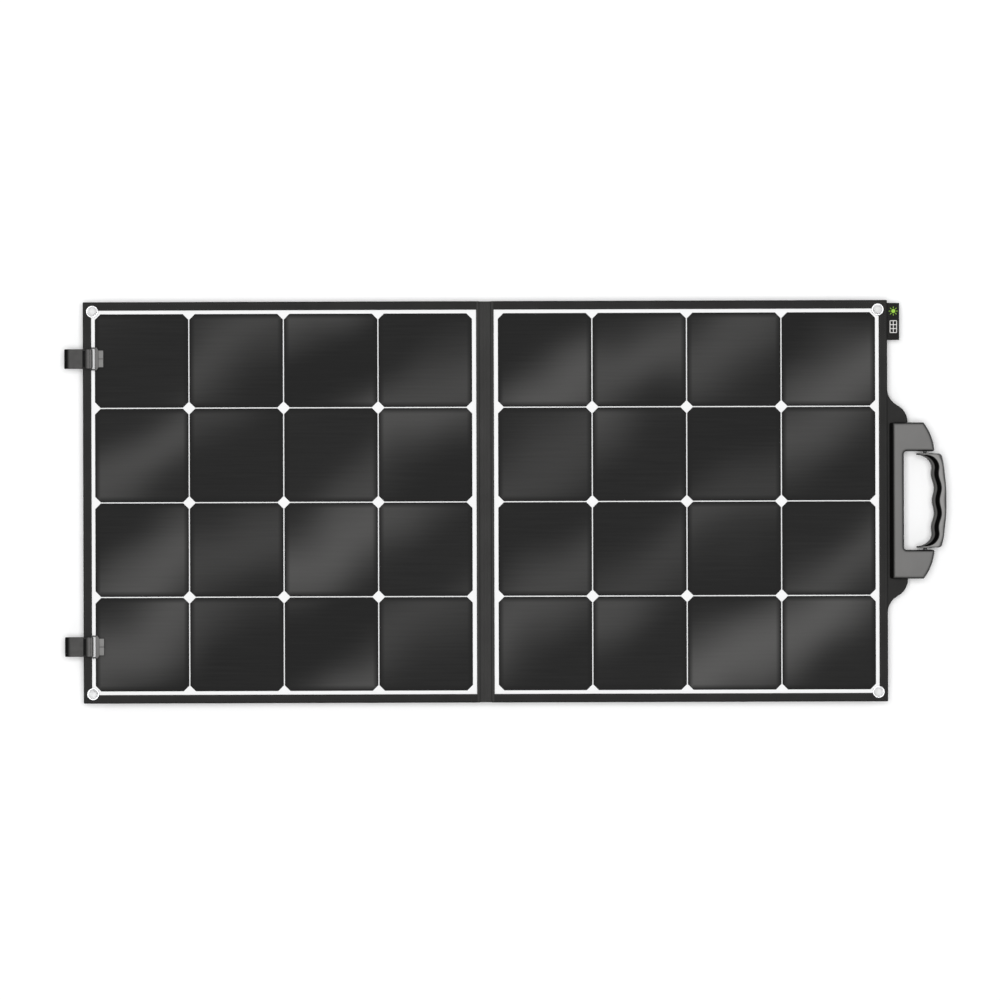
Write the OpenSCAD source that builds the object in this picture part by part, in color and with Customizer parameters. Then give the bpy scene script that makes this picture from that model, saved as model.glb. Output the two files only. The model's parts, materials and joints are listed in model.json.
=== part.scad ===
// Folding solar panel: two wings of cells joined by a fabric spine, with a
// carrying handle on one wing and two closing straps on the other.
// It lies face up. +X points to the handle, +Y to the side with the tag, +Z is the lit side.
// The origin is under the middle of the whole object, on the surface it lies on.

/* [Cells] */
// Side of one square cell
cell = 126; // [100:1:160]
// Space between two cells
cell_gap = 1.4; // [1:0.1:5]
// Length cut off each cell corner, along the side
cell_cut = 7.5; // [4:0.1:12]
// Cells along one side of a wing
cells_per_side = 4; // [4:1:5]

/* [Wing] */
// Visible width of the fabric border
border = 11.25; // [10:0.05:20]
// White margin between the outer cells and the border
margin_out = 5.15; // [4:0.05:8]
// White margin beside the spine
margin_in = 5.7; // [4:0.1:8]
// Half the width of black fabric seen between the two wings
spine_half = 11.75; // [11:0.25:14]
// Height of the back cover above the surface, which leaves room for stands and pockets
back_z = 10; // [10:0.5:12]
// Thickness of one wing
wing_t = 8; // [8:0.5:10]

/* [Eyelets] */
// Radius of the hole through an eyelet
eyelet_r = 6.25; // [5:0.05:6.25]
// Distance from an eyelet's centre to the wing's edges
eyelet_inset = 12.8; // [12:0.1:13]

/* [Handle] */
// How far the grip reaches past the wing
handle_out = 78.8; // [78:0.1:80]
// Length of the bracket
bracket_len = 210.4; // [208:0.1:214]
// Thickness of the bracket and grip
handle_t = 22; // [20:0.5:24]

/* [Straps] */
// Width of the webbing
webbing_w = 25; // [20:1:30]
// Distance of each strap from the middle of the wing
strap_y = 194; // [180:1:200]
// How far a folded strap reaches past the wing
strap_out = 25; // [24:1:30]

/* [Stands] */
// Width of a stand board
stand_w = 200; // [180:5:210]
// Distance of a stand's hinge from the middle of the wing
stand_hinge_y = 150; // [140:1:160]

/* [Hidden] */
$fn = 64;

// wing layout
grid = cells_per_side * cell + (cells_per_side - 1) * cell_gap;
wing_x = spine_half + margin_in + grid + margin_out + border; // outer edge of a wing
half_h = grid / 2 + margin_out + border;                      // half the wing's height
hinge_x = 7;                                                  // fold line beside the spine
hinge_z = back_z + wing_t - 3;
fold_gap = 0.3;                                               // fabric clear of the fold line
front_z = back_z + wing_t;
edge_r = 1.5;                                                 // wing corner radius
shift_x = -(handle_out - strap_out) / 2;
mid_x = (hinge_x + wing_x) / 2;

// layers of a wing, from the back
cover_t = 1;
foam_z = back_z + cover_t;
foam_t = 2;
stiff_z = foam_z + foam_t;
rim_t = 1.2;                                // front cover over the laminate's edge
laminate_t = 1.2;
laminate_z = front_z - rim_t - laminate_t;
cell_t = 0.35;
wall_t = 2;                                 // turned fabric edge round a wing
window_in = spine_half;
window_out = wing_x - border;
window_y = half_h - border;

// eyelets
barrel_r = eyelet_r + 0.9;
flange_r = 8.3;
flange_t = 0.8;

// handle
handle_z = back_z + wing_t / 2;             // plane of the flap and the pivot
flap_t = 3.2;
pad_t = 2;
pad_x = wing_x + 2.4;
bracket_x = wing_x + 6.4;
web_x = wing_x + 21.6;                      // inner edge of the bracket's web
window_h = 66.4;                            // half the bracket's window
flap_x = wing_x + 27.3;
flap_y = 106;
arm_r = 72;                                 // outer curve of the bracket's arms
arm_cx = wing_x - 9;
arm_cy = 61.4;
split_x = wing_x + 44;                      // past here the bracket's halves meet
pivot_x = wing_x + 50.6;
pin_r = 2.5;
grip_h = 63.6;                              // half the grip's length
lug_r = 11.7;
lug_t = 2;
finger_pitch = 35;
finger_end = 44;                            // where the waves give way to the hollow ends
grip_rim_x = wing_x + 61.5;                 // middle of the wavy inner edge
grip_shell_x = wing_x + 70.1;
grip_wave = 1.5;
grip_drop = 1.3;                            // how far the waves lean in, one wave from the middle
grip_bow_r = 320;                           // outer curve of the grip
rim_tip_x = wing_x + 38.9;                  // where the hollow ends of the edges start
shell_tip_x = wing_x + 50;
insert_t = 16;

// stands
stand_top = 7;
stand_len = 250;                            // from a stand's hinge to its end
tape_w = stand_w - 20;
stay_w = 24;
stay_t = 1.2;
stay_len = 105.7;                           // one half of the folding stay
stay_y = stand_hinge_y - stand_len;
stay_z = 9.2;
knee_z = 7.7;

// pockets
pocket_x0 = mid_x + 126;
pocket_x1 = wing_x - 18;
pocket_h = 140;                             // half the pocket's length
skin = 1.2;
zip_z = 5;
zip_slot = 5;
slider_y = 122;

// junction box in the cable pocket
box_x = pocket_x0 + 70;
box_w = 58;
box_l = 84;
box_z0 = 5;

// straps
ply_t = 1.5;
ply_z = back_z + 4;                         // underside of the root ply
fold_r = 3;
fold_x = wing_x + strap_out - fold_r;
fold_z = ply_z + fold_r;
top_z = fold_z + fold_r - ply_t;            // underside of the free ply
buckle_x = wing_x - 11;                     // outer end of the buckle's bar
loop_r = 2.4;                               // webbing round the buckle's bar
bar_r = 1.2;
buckle_z = front_z + 0.3 + loop_r;

module panel() { translate([shift_x, 0, 0]) children(); }
module left_side() { mirror([1, 0, 0]) children(); }
module both_ends() {
    children();
    mirror([0, 1, 0]) children();
}
module slab(x0, x1, y0, y1, z0, z1) {
    translate([x0, y0, z0]) cube([x1 - x0, y1 - y0, z1 - z0]);
}
// flat rounded rectangle; its corners are true arcs
module plate_2d(x0, x1, y0, y1, r) {
    translate([x0 + r, y0]) square([x1 - x0 - 2 * r, y1 - y0]);
    translate([x0, y0 + r]) square([x1 - x0, y1 - y0 - 2 * r]);
    for (x = [x0 + r, x1 - r], y = [y0 + r, y1 - r]) translate([x, y]) circle(r);
}
module plate(x0, x1, y0, y1, z0, z1, r) {
    translate([0, 0, z0]) linear_extrude(z1 - z0) plate_2d(x0, x1, y0, y1, r);
}
module rod_y(x, y0, y1, z, r) {
    translate([x, y0, z]) rotate([-90, 0, 0]) cylinder(r = r, h = y1 - y0);
}

// ---- one wing, drawn on the right ----
module eyelet_holes(r) {
    both_ends() translate([wing_x - eyelet_inset, half_h - eyelet_inset, back_z - 2])
        cylinder(r = r, h = wing_t + 4);
}
module wing_plate(inset, z0, t, r) {
    difference() {
        plate(hinge_x + fold_gap + inset, wing_x - inset, -half_h + inset, half_h - inset,
              z0, z0 + t, r);
        eyelet_holes(barrel_r);
    }
}
module back_cover() { wing_plate(0, back_z, cover_t, edge_r); }
module foam() { wing_plate(wall_t, foam_z, foam_t, 1); }
module stiffener() { wing_plate(wall_t, stiff_z, laminate_z - stiff_z, 1); }
module laminate() { wing_plate(wall_t, laminate_z, laminate_t, 1); }
module cell_2d() {
    half = cell / 2;
    inner = half - cell_cut;
    polygon([[inner, half], [half, inner], [half, -inner], [inner, -half],
             [-inner, -half], [-half, -inner], [-half, inner], [-inner, half]]);
}
module cells() {
    first = window_in + margin_in + cell / 2;
    step = cell + cell_gap;
    translate([0, 0, laminate_z + laminate_t]) linear_extrude(cell_t)
        for (i = [0 : cells_per_side - 1], j = [0 : cells_per_side - 1])
            translate([first + i * step, -grid / 2 + cell / 2 + j * step]) cell_2d();
}
module front_cover() {
    difference() {
        plate(hinge_x + fold_gap, wing_x, -half_h, half_h, back_z + cover_t, front_z, edge_r);
        plate(hinge_x + fold_gap + wall_t, wing_x - wall_t, -half_h + wall_t, half_h - wall_t,
              back_z, front_z - rim_t, 1);
        slab(window_in, window_out, -window_y, window_y, front_z - rim_t - 1, front_z + 1);
        eyelet_holes(barrel_r);
    }
}
module eyelets() {
    both_ends() translate([wing_x - eyelet_inset, half_h - eyelet_inset, 0]) difference() {
        union() {
            translate([0, 0, back_z - flange_t])
                cylinder(r = barrel_r, h = wing_t + 2 * flange_t);
            translate([0, 0, back_z - flange_t]) cylinder(r = flange_r, h = flange_t);
            translate([0, 0, front_z]) cylinder(r = flange_r, h = flange_t);
            // flange stands on the laminate where the window leaves it bare
            intersection() {
                translate([0, 0, laminate_z + laminate_t])
                    cylinder(r = flange_r, h = rim_t);
                slab(-20, window_out - wing_x + eyelet_inset, -20,
                     eyelet_inset - border, laminate_z, front_z);
            }
        }
        translate([0, 0, back_z - 2]) cylinder(r = eyelet_r, h = wing_t + 4);
    }
}

module right_back_cover() { color("#2b2b2b") panel() back_cover(); }
module right_foam() { color("#d8d4c8") panel() foam(); }
module right_stiffener() { color("#b9a27c") panel() stiffener(); }
module right_laminate() { color("#fafafa") panel() laminate(); }
module right_cells() { color("#262830") panel() cells(); }
module right_front_cover() { color("#2f2e2d") panel() front_cover(); }
module right_eyelets() { color("#d9dadb") panel() eyelets(); }
module left_back_cover() { color("#2b2b2b") panel() left_side() back_cover(); }
module left_foam() { color("#d8d4c8") panel() left_side() foam(); }
module left_stiffener() { color("#b9a27c") panel() left_side() stiffener(); }
module left_laminate() { color("#fafafa") panel() left_side() laminate(); }
module left_cells() { color("#262830") panel() left_side() cells(); }
module left_front_cover() { color("#2f2e2d") panel() left_side() front_cover(); }
module left_eyelets() { color("#d9dadb") panel() left_side() eyelets(); }

// ---- spine: a fabric sleeve with the flat wires that join the wings ----
module spine_fabric() {
    color("#383838") panel() difference() {
        slab(-hinge_x + fold_gap, hinge_x - fold_gap, -half_h, half_h, hinge_z - 2, hinge_z);
        slab(-hinge_x, hinge_x, -21, 21, hinge_z - 1.4, hinge_z - 0.6);
    }
}
module spine_ribbon() {
    color("#c87f3c") panel() both_ends()
        slab(-hinge_x + fold_gap, hinge_x - fold_gap, 1, 20, hinge_z - 1.4, hinge_z - 0.6);
}

// ---- handle on the right wing ----
module flap_2d() {
    // two equal arcs make the S-curve at each end of the flap
    turn = 62.4;
    arc_r = (flap_x - wing_x) / 2 / (1 - cos(turn));
    rise = arc_r * sin(turn);
    top = flap_y + 2 * rise;
    lower = [for (a = [0 : turn / 8 : turn])
        [flap_x - arc_r * (1 - cos(a)), flap_y + arc_r * sin(a)]];
    upper = [for (a = [turn : -turn / 8 : 0])
        [wing_x + arc_r * (1 - cos(a)), top - arc_r * sin(a)]];
    right = concat(lower, upper);
    difference() {
        polygon(concat([for (p = right) [p[0], -p[1]]], [for (i = [len(right) - 1 : -1 : 0])
            right[i]]));
        handle_window_2d();
    }
}
module handle_window_2d() { plate_2d(web_x, wing_x + 90, -window_h, window_h, 4); }
module bracket_2d(x0, grow) {
    half = bracket_len / 2 + grow;
    difference() {
        union() {
            difference() {
                plate_2d(x0, split_x + 30, -half, half, 3);
                translate([wing_x + 20, -half - 1]) square([70, 2 * half + 2]);
            }
            both_ends() intersection() {
                translate([wing_x + 20 - 1, 0]) square([60, half]);
                translate([arm_cx, arm_cy]) circle(arm_r + grow, $fn = 180);
            }
        }
        handle_window_2d();
    }
}
module handle_flap() {
    color("#343332") panel() difference() {
        translate([0, 0, handle_z - flap_t / 2]) linear_extrude(flap_t) flap_2d();
        slab(wing_x + 4, web_x - 4, -100, 100, handle_z - 0.6, handle_z + 0.6);
        bracket_bolts(1.6, 0, 30);
    }
}
module handle_plate() {
    color("#cfcfc8") panel() difference() {
        slab(wing_x + 4, web_x - 4, -100, 100, handle_z - 0.6, handle_z + 0.6);
        bracket_bolts(1.6, 0, 30);
    }
}
module pad(z0) {
    difference() {
        translate([0, 0, z0]) linear_extrude(pad_t) intersection() {
            bracket_2d(pad_x, 0);
            translate([wing_x, -200]) square([split_x - wing_x, 400]);
        }
        bracket_bolts(1.6, 0, 30);
    }
}
module handle_pad_front() { color("#101010") panel() pad(handle_z + flap_t / 2); }
module handle_pad_back() { color("#101010") panel() pad(handle_z - flap_t / 2 - pad_t); }

// places of the four bolts that clamp the bracket through the flap
module bracket_bolts(r, z0, z1) {
    for (y = [-86, -30, 30, 86]) translate([wing_x + 14, y, z0]) cylinder(r = r, h = z1 - z0);
}
module pivot_holes(r) {
    both_ends() rod_y(pivot_x, grip_h - 4.6, window_h + 9, handle_z, r);
}
// one half of the bracket: it lies on the pad, and past the pad it meets the other half
module bracket_half() {
    face = flap_t / 2 + pad_t;
    top = handle_t / 2;
    lip = 0.6;
    difference() {
        union() {
            translate([0, 0, face]) linear_extrude(top - lip - face) bracket_2d(bracket_x, 0);
            translate([0, 0, top - lip]) linear_extrude(lip) bracket_2d(bracket_x + lip, -lip);
            linear_extrude(face) difference() {
                bracket_2d(bracket_x, 0);
                translate([wing_x - 5, -200]) square([split_x - wing_x + 5.2, 400]);
            }
        }
        translate([0, 0, -handle_z]) pivot_holes(pin_r);
    }
}
module bracket_front() {
    color("#7b7b7b") panel() difference() {
        translate([0, 0, handle_z]) bracket_half();
        bracket_bolts(1.6, 0, handle_z + 7);
    }
}
module bracket_back() {
    color("#747474") panel() difference() {
        translate([0, 0, handle_z]) mirror([0, 0, 1]) bracket_half();
        bracket_bolts(1.6, 0, 30);
        bracket_bolts(3.1, 0, handle_z - handle_t / 2 + 2.5);
    }
}
module bracket_screws() {
    head_z = handle_z - handle_t / 2 + 0.5;
    color("#3a3a3a") panel() difference() {
        union() {
            bracket_bolts(3, head_z, head_z + 2);
            bracket_bolts(1.55, head_z + 2, handle_z + 6.5);
        }
        for (y = [-86, -30, 30, 86]) translate([wing_x + 14, y, head_z - 1])
            cylinder(r = 1.3, h = 2, $fn = 6);
    }
}
module pivot_pins() { color("#202020") panel() pivot_holes(pin_r); }

// ---- grip ----
function finger_x(edge_x, y) = edge_x - grip_wave * cos(360 * y / finger_pitch)
    - grip_drop * pow(y / finger_pitch, 2);
// the part of the grip that lies outside a finger edge: waves between two hollow ends
module grip_2d(edge_x, tip_x) {
    reach = grip_h - lug_t - finger_end;
    start_x = finger_x(edge_x, finger_end);
    end = [for (a = [0 : 9 : 90])
        [tip_x + (start_x - tip_x) * cos(a), finger_end + reach * sin(a)]];
    waves = [for (y = [-finger_end + 2 : 2 : finger_end - 2]) [finger_x(edge_x, y), y]];
    lower = [for (i = [len(end) - 1 : -1 : 0]) [end[i][0], -end[i][1]]];
    far = wing_x + 90;
    intersection() {
        polygon(concat(lower, waves, end,
            [[far, grip_h - lug_t], [far, -grip_h + lug_t]]));
        translate([handle_out + wing_x - grip_bow_r, 0]) circle(grip_bow_r, $fn = 360);
        plate_2d(wing_x + 30, wing_x + 85, -grip_h, grip_h, 3);
    }
}
// ends of the grip that hold the pins
module pin_blocks_2d() {
    both_ends() translate([pivot_x - 4.5, grip_h - 6]) square([20, 6 - lug_t]);
}
module grip_shell_2d() {
    grip_2d(grip_shell_x, shell_tip_x);
    intersection() {
        grip_2d(grip_rim_x, rim_tip_x);
        pin_blocks_2d();
    }
}
module grip_bolts(r, z0, z1) {
    for (y = [-34, 34]) translate([wing_x + 73.4, y, z0]) cylinder(r = r, h = z1 - z0);
}
module grip_half() {
    top = handle_t / 2;
    difference() {
        union() {
            linear_extrude(top) grip_shell_2d();
            both_ends() intersection() {
                rod_y(pivot_x, grip_h - lug_t, grip_h, 0, lug_r);
                slab(wing_x, wing_x + 90, 0, 90, 0, top + 2);
            }
        }
        both_ends() rod_y(pivot_x, grip_h - 5, grip_h + 1, 0, pin_r + 0.06);
        grip_bolts(1.3, -1, top - 3);
    }
}
module grip_front() { color("#868686") panel() translate([0, 0, handle_z]) grip_half(); }
module grip_back() {
    color("#7a7a7a") panel() translate([0, 0, handle_z]) mirror([0, 0, 1]) difference() {
        grip_half();
        grip_bolts(1.3, -1, 30);
        grip_bolts(2.4, handle_t / 2 - 2.5, 30);
    }
}
// soft rim that the fingers hold, in the hollow side of the shells
module grip_insert() {
    color("#141414") panel() translate([0, 0, handle_z - insert_t / 2])
        linear_extrude(insert_t) difference() {
            grip_2d(grip_rim_x, rim_tip_x);
            grip_shell_2d();
            pin_blocks_2d();
        }
}
module grip_screws() {
    head = -handle_t / 2 + 1;
    color("#3a3a3a") panel() translate([0, 0, handle_z]) difference() {
        union() {
            grip_bolts(2.3, head, head + 1.5);
            grip_bolts(1.25, head + 1.5, 6);
        }
        for (y = [-34, 34]) translate([wing_x + 73.4, y, head - 1])
            cylinder(r = 1, h = 1.8, $fn = 6);
    }
}

module side_tag() {
    top = half_h - 4;
    tag_out = 16.4;
    color("#2c2c2b") panel()
        plate(wing_x, wing_x + tag_out, top - 50, top, handle_z - 0.9, handle_z + 0.9, 1);
}

// ---- junction box inside the cable pocket ----
module box_screws(r, z0, z1) {
    for (x = [-1, 1], y = [-1, 1])
        translate([box_x + x * (box_w / 2 - 5), y * (box_l / 2 - 5), z0])
            cylinder(r = r, h = z1 - z0);
}
module junction_box() {
    color("#1c1c1c") panel() difference() {
        plate(box_x - box_w / 2, box_x + box_w / 2, -box_l / 2, box_l / 2, box_z0, back_z, 4);
        difference() {
            plate(box_x - box_w / 2 + 2, box_x + box_w / 2 - 2, -box_l / 2 + 2, box_l / 2 - 2,
                  box_z0 - 1, back_z - 1.2, 2);
            box_screws(3.5, 0, back_z);
        }
        box_screws(1, 0, back_z - 1.5);
    }
}
module junction_lid() {
    color("#242424") panel() difference() {
        plate(box_x - box_w / 2, box_x + box_w / 2, -box_l / 2, box_l / 2, box_z0 - 1.8, box_z0, 4);
        box_screws(1.1, 0, back_z);
        box_screws(2.1, 0, box_z0 - 1);
    }
}
module junction_screws() {
    color("#9a9a9a") panel() {
        box_screws(2, box_z0 - 1.7, box_z0 - 1);
        box_screws(0.95, box_z0 - 1, back_z - 2.5);
    }
}
module output_gland() {
    color("#151515") panel() difference() {
        union() {
            rod_y(box_x, -box_l / 2 - 10, -box_l / 2, 6.6, 2.6);
            slab(box_x - 4, box_x + 4, -box_l / 2 - 3, -box_l / 2, 3.8, 9.4);
        }
        rod_y(box_x, -box_l / 2 - 11, -box_l / 2 - 2, 6.6, 1.6);
    }
}

// ---- back pockets with a zip along the side that faces the stand ----
module pocket() {
    difference() {
        plate(pocket_x0, pocket_x1, -pocket_h, pocket_h, 0, back_z, 6);
        plate(pocket_x0 + skin, pocket_x1 - skin, -pocket_h + skin, pocket_h - skin,
              skin, back_z + 1, 5);
        slab(pocket_x0 - 1, pocket_x0 + skin + 1, -pocket_h + 8, pocket_h - 8,
             zip_z - zip_slot / 2, zip_z + zip_slot / 2);
    }
}
module pocket_zip() {
    tooth = 2;
    x = pocket_x0 + skin / 2;
    slab(x - 0.3, x + 0.3, -pocket_h + 8, pocket_h - 8, zip_z - zip_slot / 2, zip_z + zip_slot / 2);
    for (y = [-pocket_h + 10 : 2 * tooth : pocket_h - 12])
        slab(x - 1.3, x + 1.3, y, y + tooth, zip_z - 1.1, zip_z + 1.1);
}
module zip_slider() {
    x = pocket_x0 - 0.85;
    difference() {
        union() {
            slab(x - 2, x, slider_y - 5, slider_y + 5, zip_z - 3, zip_z + 3);
            slab(x - 3.6, x - 2, slider_y - 2.5, slider_y + 2.5, zip_z - 1, zip_z + 1);
        }
        translate([x - 2.9, slider_y, zip_z - 3]) cylinder(r = 0.56, h = 6);
    }
}
module zip_puller() {
    x = pocket_x0 - 3.75;
    translate([x, slider_y, zip_z]) {
        translate([0, 0, -1.8]) cylinder(r = 0.5, h = 3.6);
        for (z = [-1.9, 1.2]) translate([-0.5, -20, z]) cube([1, 20, 0.7]);
        translate([-0.5, -22, -1.9]) cube([1, 6, 3.8]);
    }
}
module cable_pocket() { color("#2e2e2e") panel() pocket(); }
module cable_zip() { color("#111111") panel() pocket_zip(); }
module cable_slider() { color("#8a8a8a") panel() zip_slider(); }
module cable_puller() { color("#9a9a9a") panel() zip_puller(); }
module accessory_pocket() { color("#2e2e2e") panel() left_side() pocket(); }
module accessory_zip() { color("#111111") panel() left_side() pocket_zip(); }
module accessory_slider() { color("#8a8a8a") panel() left_side() zip_slider(); }
module accessory_puller() { color("#9a9a9a") panel() left_side() zip_puller(); }

// ---- stand behind one wing ----
module stand_2d(inset) {
    wide = stand_w / 2 - inset;
    narrow = wide - 14;
    y0 = stay_y + inset;
    y1 = stand_hinge_y - 2 - inset;
    polygon([[mid_x - wide, y1], [mid_x - wide, y1 - 30], [mid_x - narrow, y0],
             [mid_x + narrow, y0], [mid_x + wide, y1 - 30], [mid_x + wide, y1]]);
}
module stand_board() { translate([0, 0, 1.2]) linear_extrude(stand_top - 2.4) stand_2d(3); }
module stand_cover() {
    difference() {
        union() {
            linear_extrude(stand_top) stand_2d(0);
            // tongue that is sewn to the hinge tape
            slab(mid_x - tape_w / 2, mid_x + tape_w / 2, stand_hinge_y - 30,
                 stand_hinge_y - fold_gap, stand_top, stand_top + 1.2);
        }
        stand_board();
    }
}
module stand_hinge() {
    slab(mid_x - tape_w / 2, mid_x + tape_w / 2, stand_hinge_y + fold_gap,
         stand_hinge_y + 25, back_z - 1.2, back_z);
}
module stand_anchor() {
    slab(mid_x - stay_w / 2, mid_x + stay_w / 2, stay_y + 1.4, stay_y + 26,
         stay_z - stay_t / 2, back_z);
}
// the stay folds at its knee: its upper half hangs from the wing, its lower half from the knee
module stay_upper() {
    slab(mid_x - stay_w / 2, mid_x + stay_w / 2, stay_y - stay_len + 0.2, stay_y - fold_gap,
         stay_z - stay_t / 2, stay_z + stay_t / 2);
}
module stay_lower() {
    z = 2 * knee_z - stay_z;
    slab(mid_x - stay_w / 2, mid_x + stay_w / 2, stay_y - stay_len + 0.2, stay_y - 0.5,
         z - stay_t / 2, z + stay_t / 2);
}
module right_stand_board() { color("#b9a27c") panel() stand_board(); }
module right_stand_cover() { color("#2a2a2a") panel() stand_cover(); }
module right_stand_hinge() { color("#1d1d1d") panel() stand_hinge(); }
module right_stand_anchor() { color("#1d1d1d") panel() stand_anchor(); }
module right_stay_upper() { color("#3c3c3c") panel() stay_upper(); }
module right_stay_lower() { color("#3c3c3c") panel() stay_lower(); }
module left_stand_board() { color("#b9a27c") panel() left_side() stand_board(); }
module left_stand_cover() { color("#2a2a2a") panel() left_side() stand_cover(); }
module left_stand_hinge() { color("#1d1d1d") panel() left_side() stand_hinge(); }
module left_stand_anchor() { color("#1d1d1d") panel() left_side() stand_anchor(); }
module left_stay_upper() { color("#3c3c3c") panel() left_side() stay_upper(); }
module left_stay_lower() { color("#3c3c3c") panel() left_side() stay_lower(); }

// ---- closing straps on the left wing, drawn on the right and mirrored ----
module strap_catches() {
    // a bar on two feet behind the right wing, where a strap's hook goes over
    color("#6a6a6a") panel() both_ends() {
        for (y = [strap_y - 14, strap_y + 10])
            slab(wing_x - 42, wing_x - 30, y, y + 4, back_z - 5.5, back_z);
        rod_y(wing_x - 36, strap_y - 14, strap_y + 14, back_z - 3.5, 1.9);
    }
}
module strap_root() {
    slab(wing_x, fold_x - fold_r - 0.3, strap_y - webbing_w / 2, strap_y + webbing_w / 2,
         ply_z, ply_z + ply_t);
}
module strap_free() {
    y0 = strap_y - webbing_w / 2;
    difference() {
        union() {
            rod_y(fold_x, y0, y0 + webbing_w, fold_z, fold_r);
            slab(buckle_x, fold_x, y0, y0 + webbing_w, top_z, top_z + ply_t);
            rod_y(buckle_x, y0, y0 + webbing_w, buckle_z, loop_r);
        }
        rod_y(fold_x, y0 - 1, y0 + webbing_w + 1, fold_z, fold_r - ply_t);
        rod_y(buckle_x, y0 - 1, y0 + webbing_w + 1, buckle_z, bar_r + 0.1);
    }
}
module strap_buckle() {
    x0 = buckle_x - 17;
    frame_h = 16;
    inner_h = 12.9;
    z = buckle_z;
    difference() {
        union() {
            // bar through the webbing's loop
            rod_y(buckle_x, strap_y - frame_h, strap_y + frame_h, z, bar_r);
            // side cheeks and cross bar
            difference() {
                plate(x0 + 5, buckle_x + 1.5, strap_y - frame_h, strap_y + frame_h, z - 1.5, z + 1.5, 1.4);
                slab(x0 + 9.6, buckle_x + 4, strap_y - inner_h, strap_y + inner_h, z - 2, z + 2);
            }
            // hook tab
            plate(x0 - 2, x0 + 6, strap_y - 11.8, strap_y + 11.8, z - 1.1, z + 1.1, 1.5);
            slab(x0 - 2, x0 - 0.2, strap_y - 10, strap_y + 10, z - 1.1, z + 2.6);
        }
        plate(x0 + 1.4, x0 + 3, strap_y - 4, strap_y + 4, z - 2, z + 2, 0.7);
    }
}
module upper_strap_root() { color("#4a4948") panel() left_side() strap_root(); }
module upper_strap() { color("#4a4948") panel() left_side() strap_free(); }
module upper_buckle() { color("#6f6f6f") panel() left_side() strap_buckle(); }
module lower_strap_root() { color("#4a4948") panel() mirror([0, 1, 0]) left_side() strap_root(); }
module lower_strap() { color("#4a4948") panel() mirror([0, 1, 0]) left_side() strap_free(); }
module lower_buckle() { color("#6f6f6f") panel() mirror([0, 1, 0]) left_side() strap_buckle(); }

right_back_cover();
right_foam();
right_stiffener();
right_laminate();
right_cells();
right_front_cover();
right_eyelets();
left_back_cover();
left_foam();
left_stiffener();
left_laminate();
left_cells();
left_front_cover();
left_eyelets();
spine_fabric();
spine_ribbon();
handle_flap();
handle_plate();
handle_pad_front();
handle_pad_back();
bracket_front();
bracket_back();
bracket_screws();
pivot_pins();
grip_front();
grip_back();
grip_insert();
grip_screws();
side_tag();
junction_box();
junction_lid();
junction_screws();
output_gland();
cable_pocket();
cable_zip();
cable_slider();
cable_puller();
accessory_pocket();
accessory_zip();
accessory_slider();
accessory_puller();
right_stand_board();
right_stand_cover();
right_stand_hinge();
right_stand_anchor();
right_stay_upper();
right_stay_lower();
left_stand_board();
left_stand_cover();
left_stand_hinge();
left_stand_anchor();
left_stay_upper();
left_stay_lower();
strap_catches();
upper_strap_root();
upper_strap();
upper_buckle();
lower_strap_root();
lower_strap();
lower_buckle();
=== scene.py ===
import json
from math import asin, atan2, copysign, cos, degrees, dist, pi, radians, sin, sqrt

import bmesh
import bpy
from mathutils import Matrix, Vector, noise


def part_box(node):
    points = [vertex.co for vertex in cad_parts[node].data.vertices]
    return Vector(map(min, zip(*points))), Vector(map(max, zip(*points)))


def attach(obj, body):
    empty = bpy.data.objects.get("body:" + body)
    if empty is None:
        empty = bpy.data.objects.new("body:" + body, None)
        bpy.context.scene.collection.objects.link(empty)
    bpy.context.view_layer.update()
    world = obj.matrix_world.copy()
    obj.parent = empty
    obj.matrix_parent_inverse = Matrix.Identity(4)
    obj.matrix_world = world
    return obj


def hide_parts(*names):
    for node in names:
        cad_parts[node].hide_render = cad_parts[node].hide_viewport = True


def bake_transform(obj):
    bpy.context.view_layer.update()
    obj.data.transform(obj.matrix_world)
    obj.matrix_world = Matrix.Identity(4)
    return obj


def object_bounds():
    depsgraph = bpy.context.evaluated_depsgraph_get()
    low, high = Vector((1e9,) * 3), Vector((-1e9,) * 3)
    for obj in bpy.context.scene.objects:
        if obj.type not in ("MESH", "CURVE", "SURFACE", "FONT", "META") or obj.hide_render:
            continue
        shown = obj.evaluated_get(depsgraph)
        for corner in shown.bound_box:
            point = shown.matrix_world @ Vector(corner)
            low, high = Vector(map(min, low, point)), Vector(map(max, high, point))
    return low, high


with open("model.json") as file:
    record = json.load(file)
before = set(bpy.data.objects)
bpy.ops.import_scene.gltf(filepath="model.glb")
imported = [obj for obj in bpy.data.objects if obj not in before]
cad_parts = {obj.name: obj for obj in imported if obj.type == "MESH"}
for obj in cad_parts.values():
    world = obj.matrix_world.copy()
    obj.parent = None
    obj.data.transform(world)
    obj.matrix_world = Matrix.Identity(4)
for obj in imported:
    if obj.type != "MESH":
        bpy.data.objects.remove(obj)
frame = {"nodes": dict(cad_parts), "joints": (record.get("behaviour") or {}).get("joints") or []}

CAD_LO, CAD_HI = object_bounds()
MM = 0.001
NODES = frame["nodes"]
SIDES = ("right", "left")


# ---- places taken from the frame

def span(node):
    lo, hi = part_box(node)
    return Vector(lo), Vector(hi)


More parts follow.
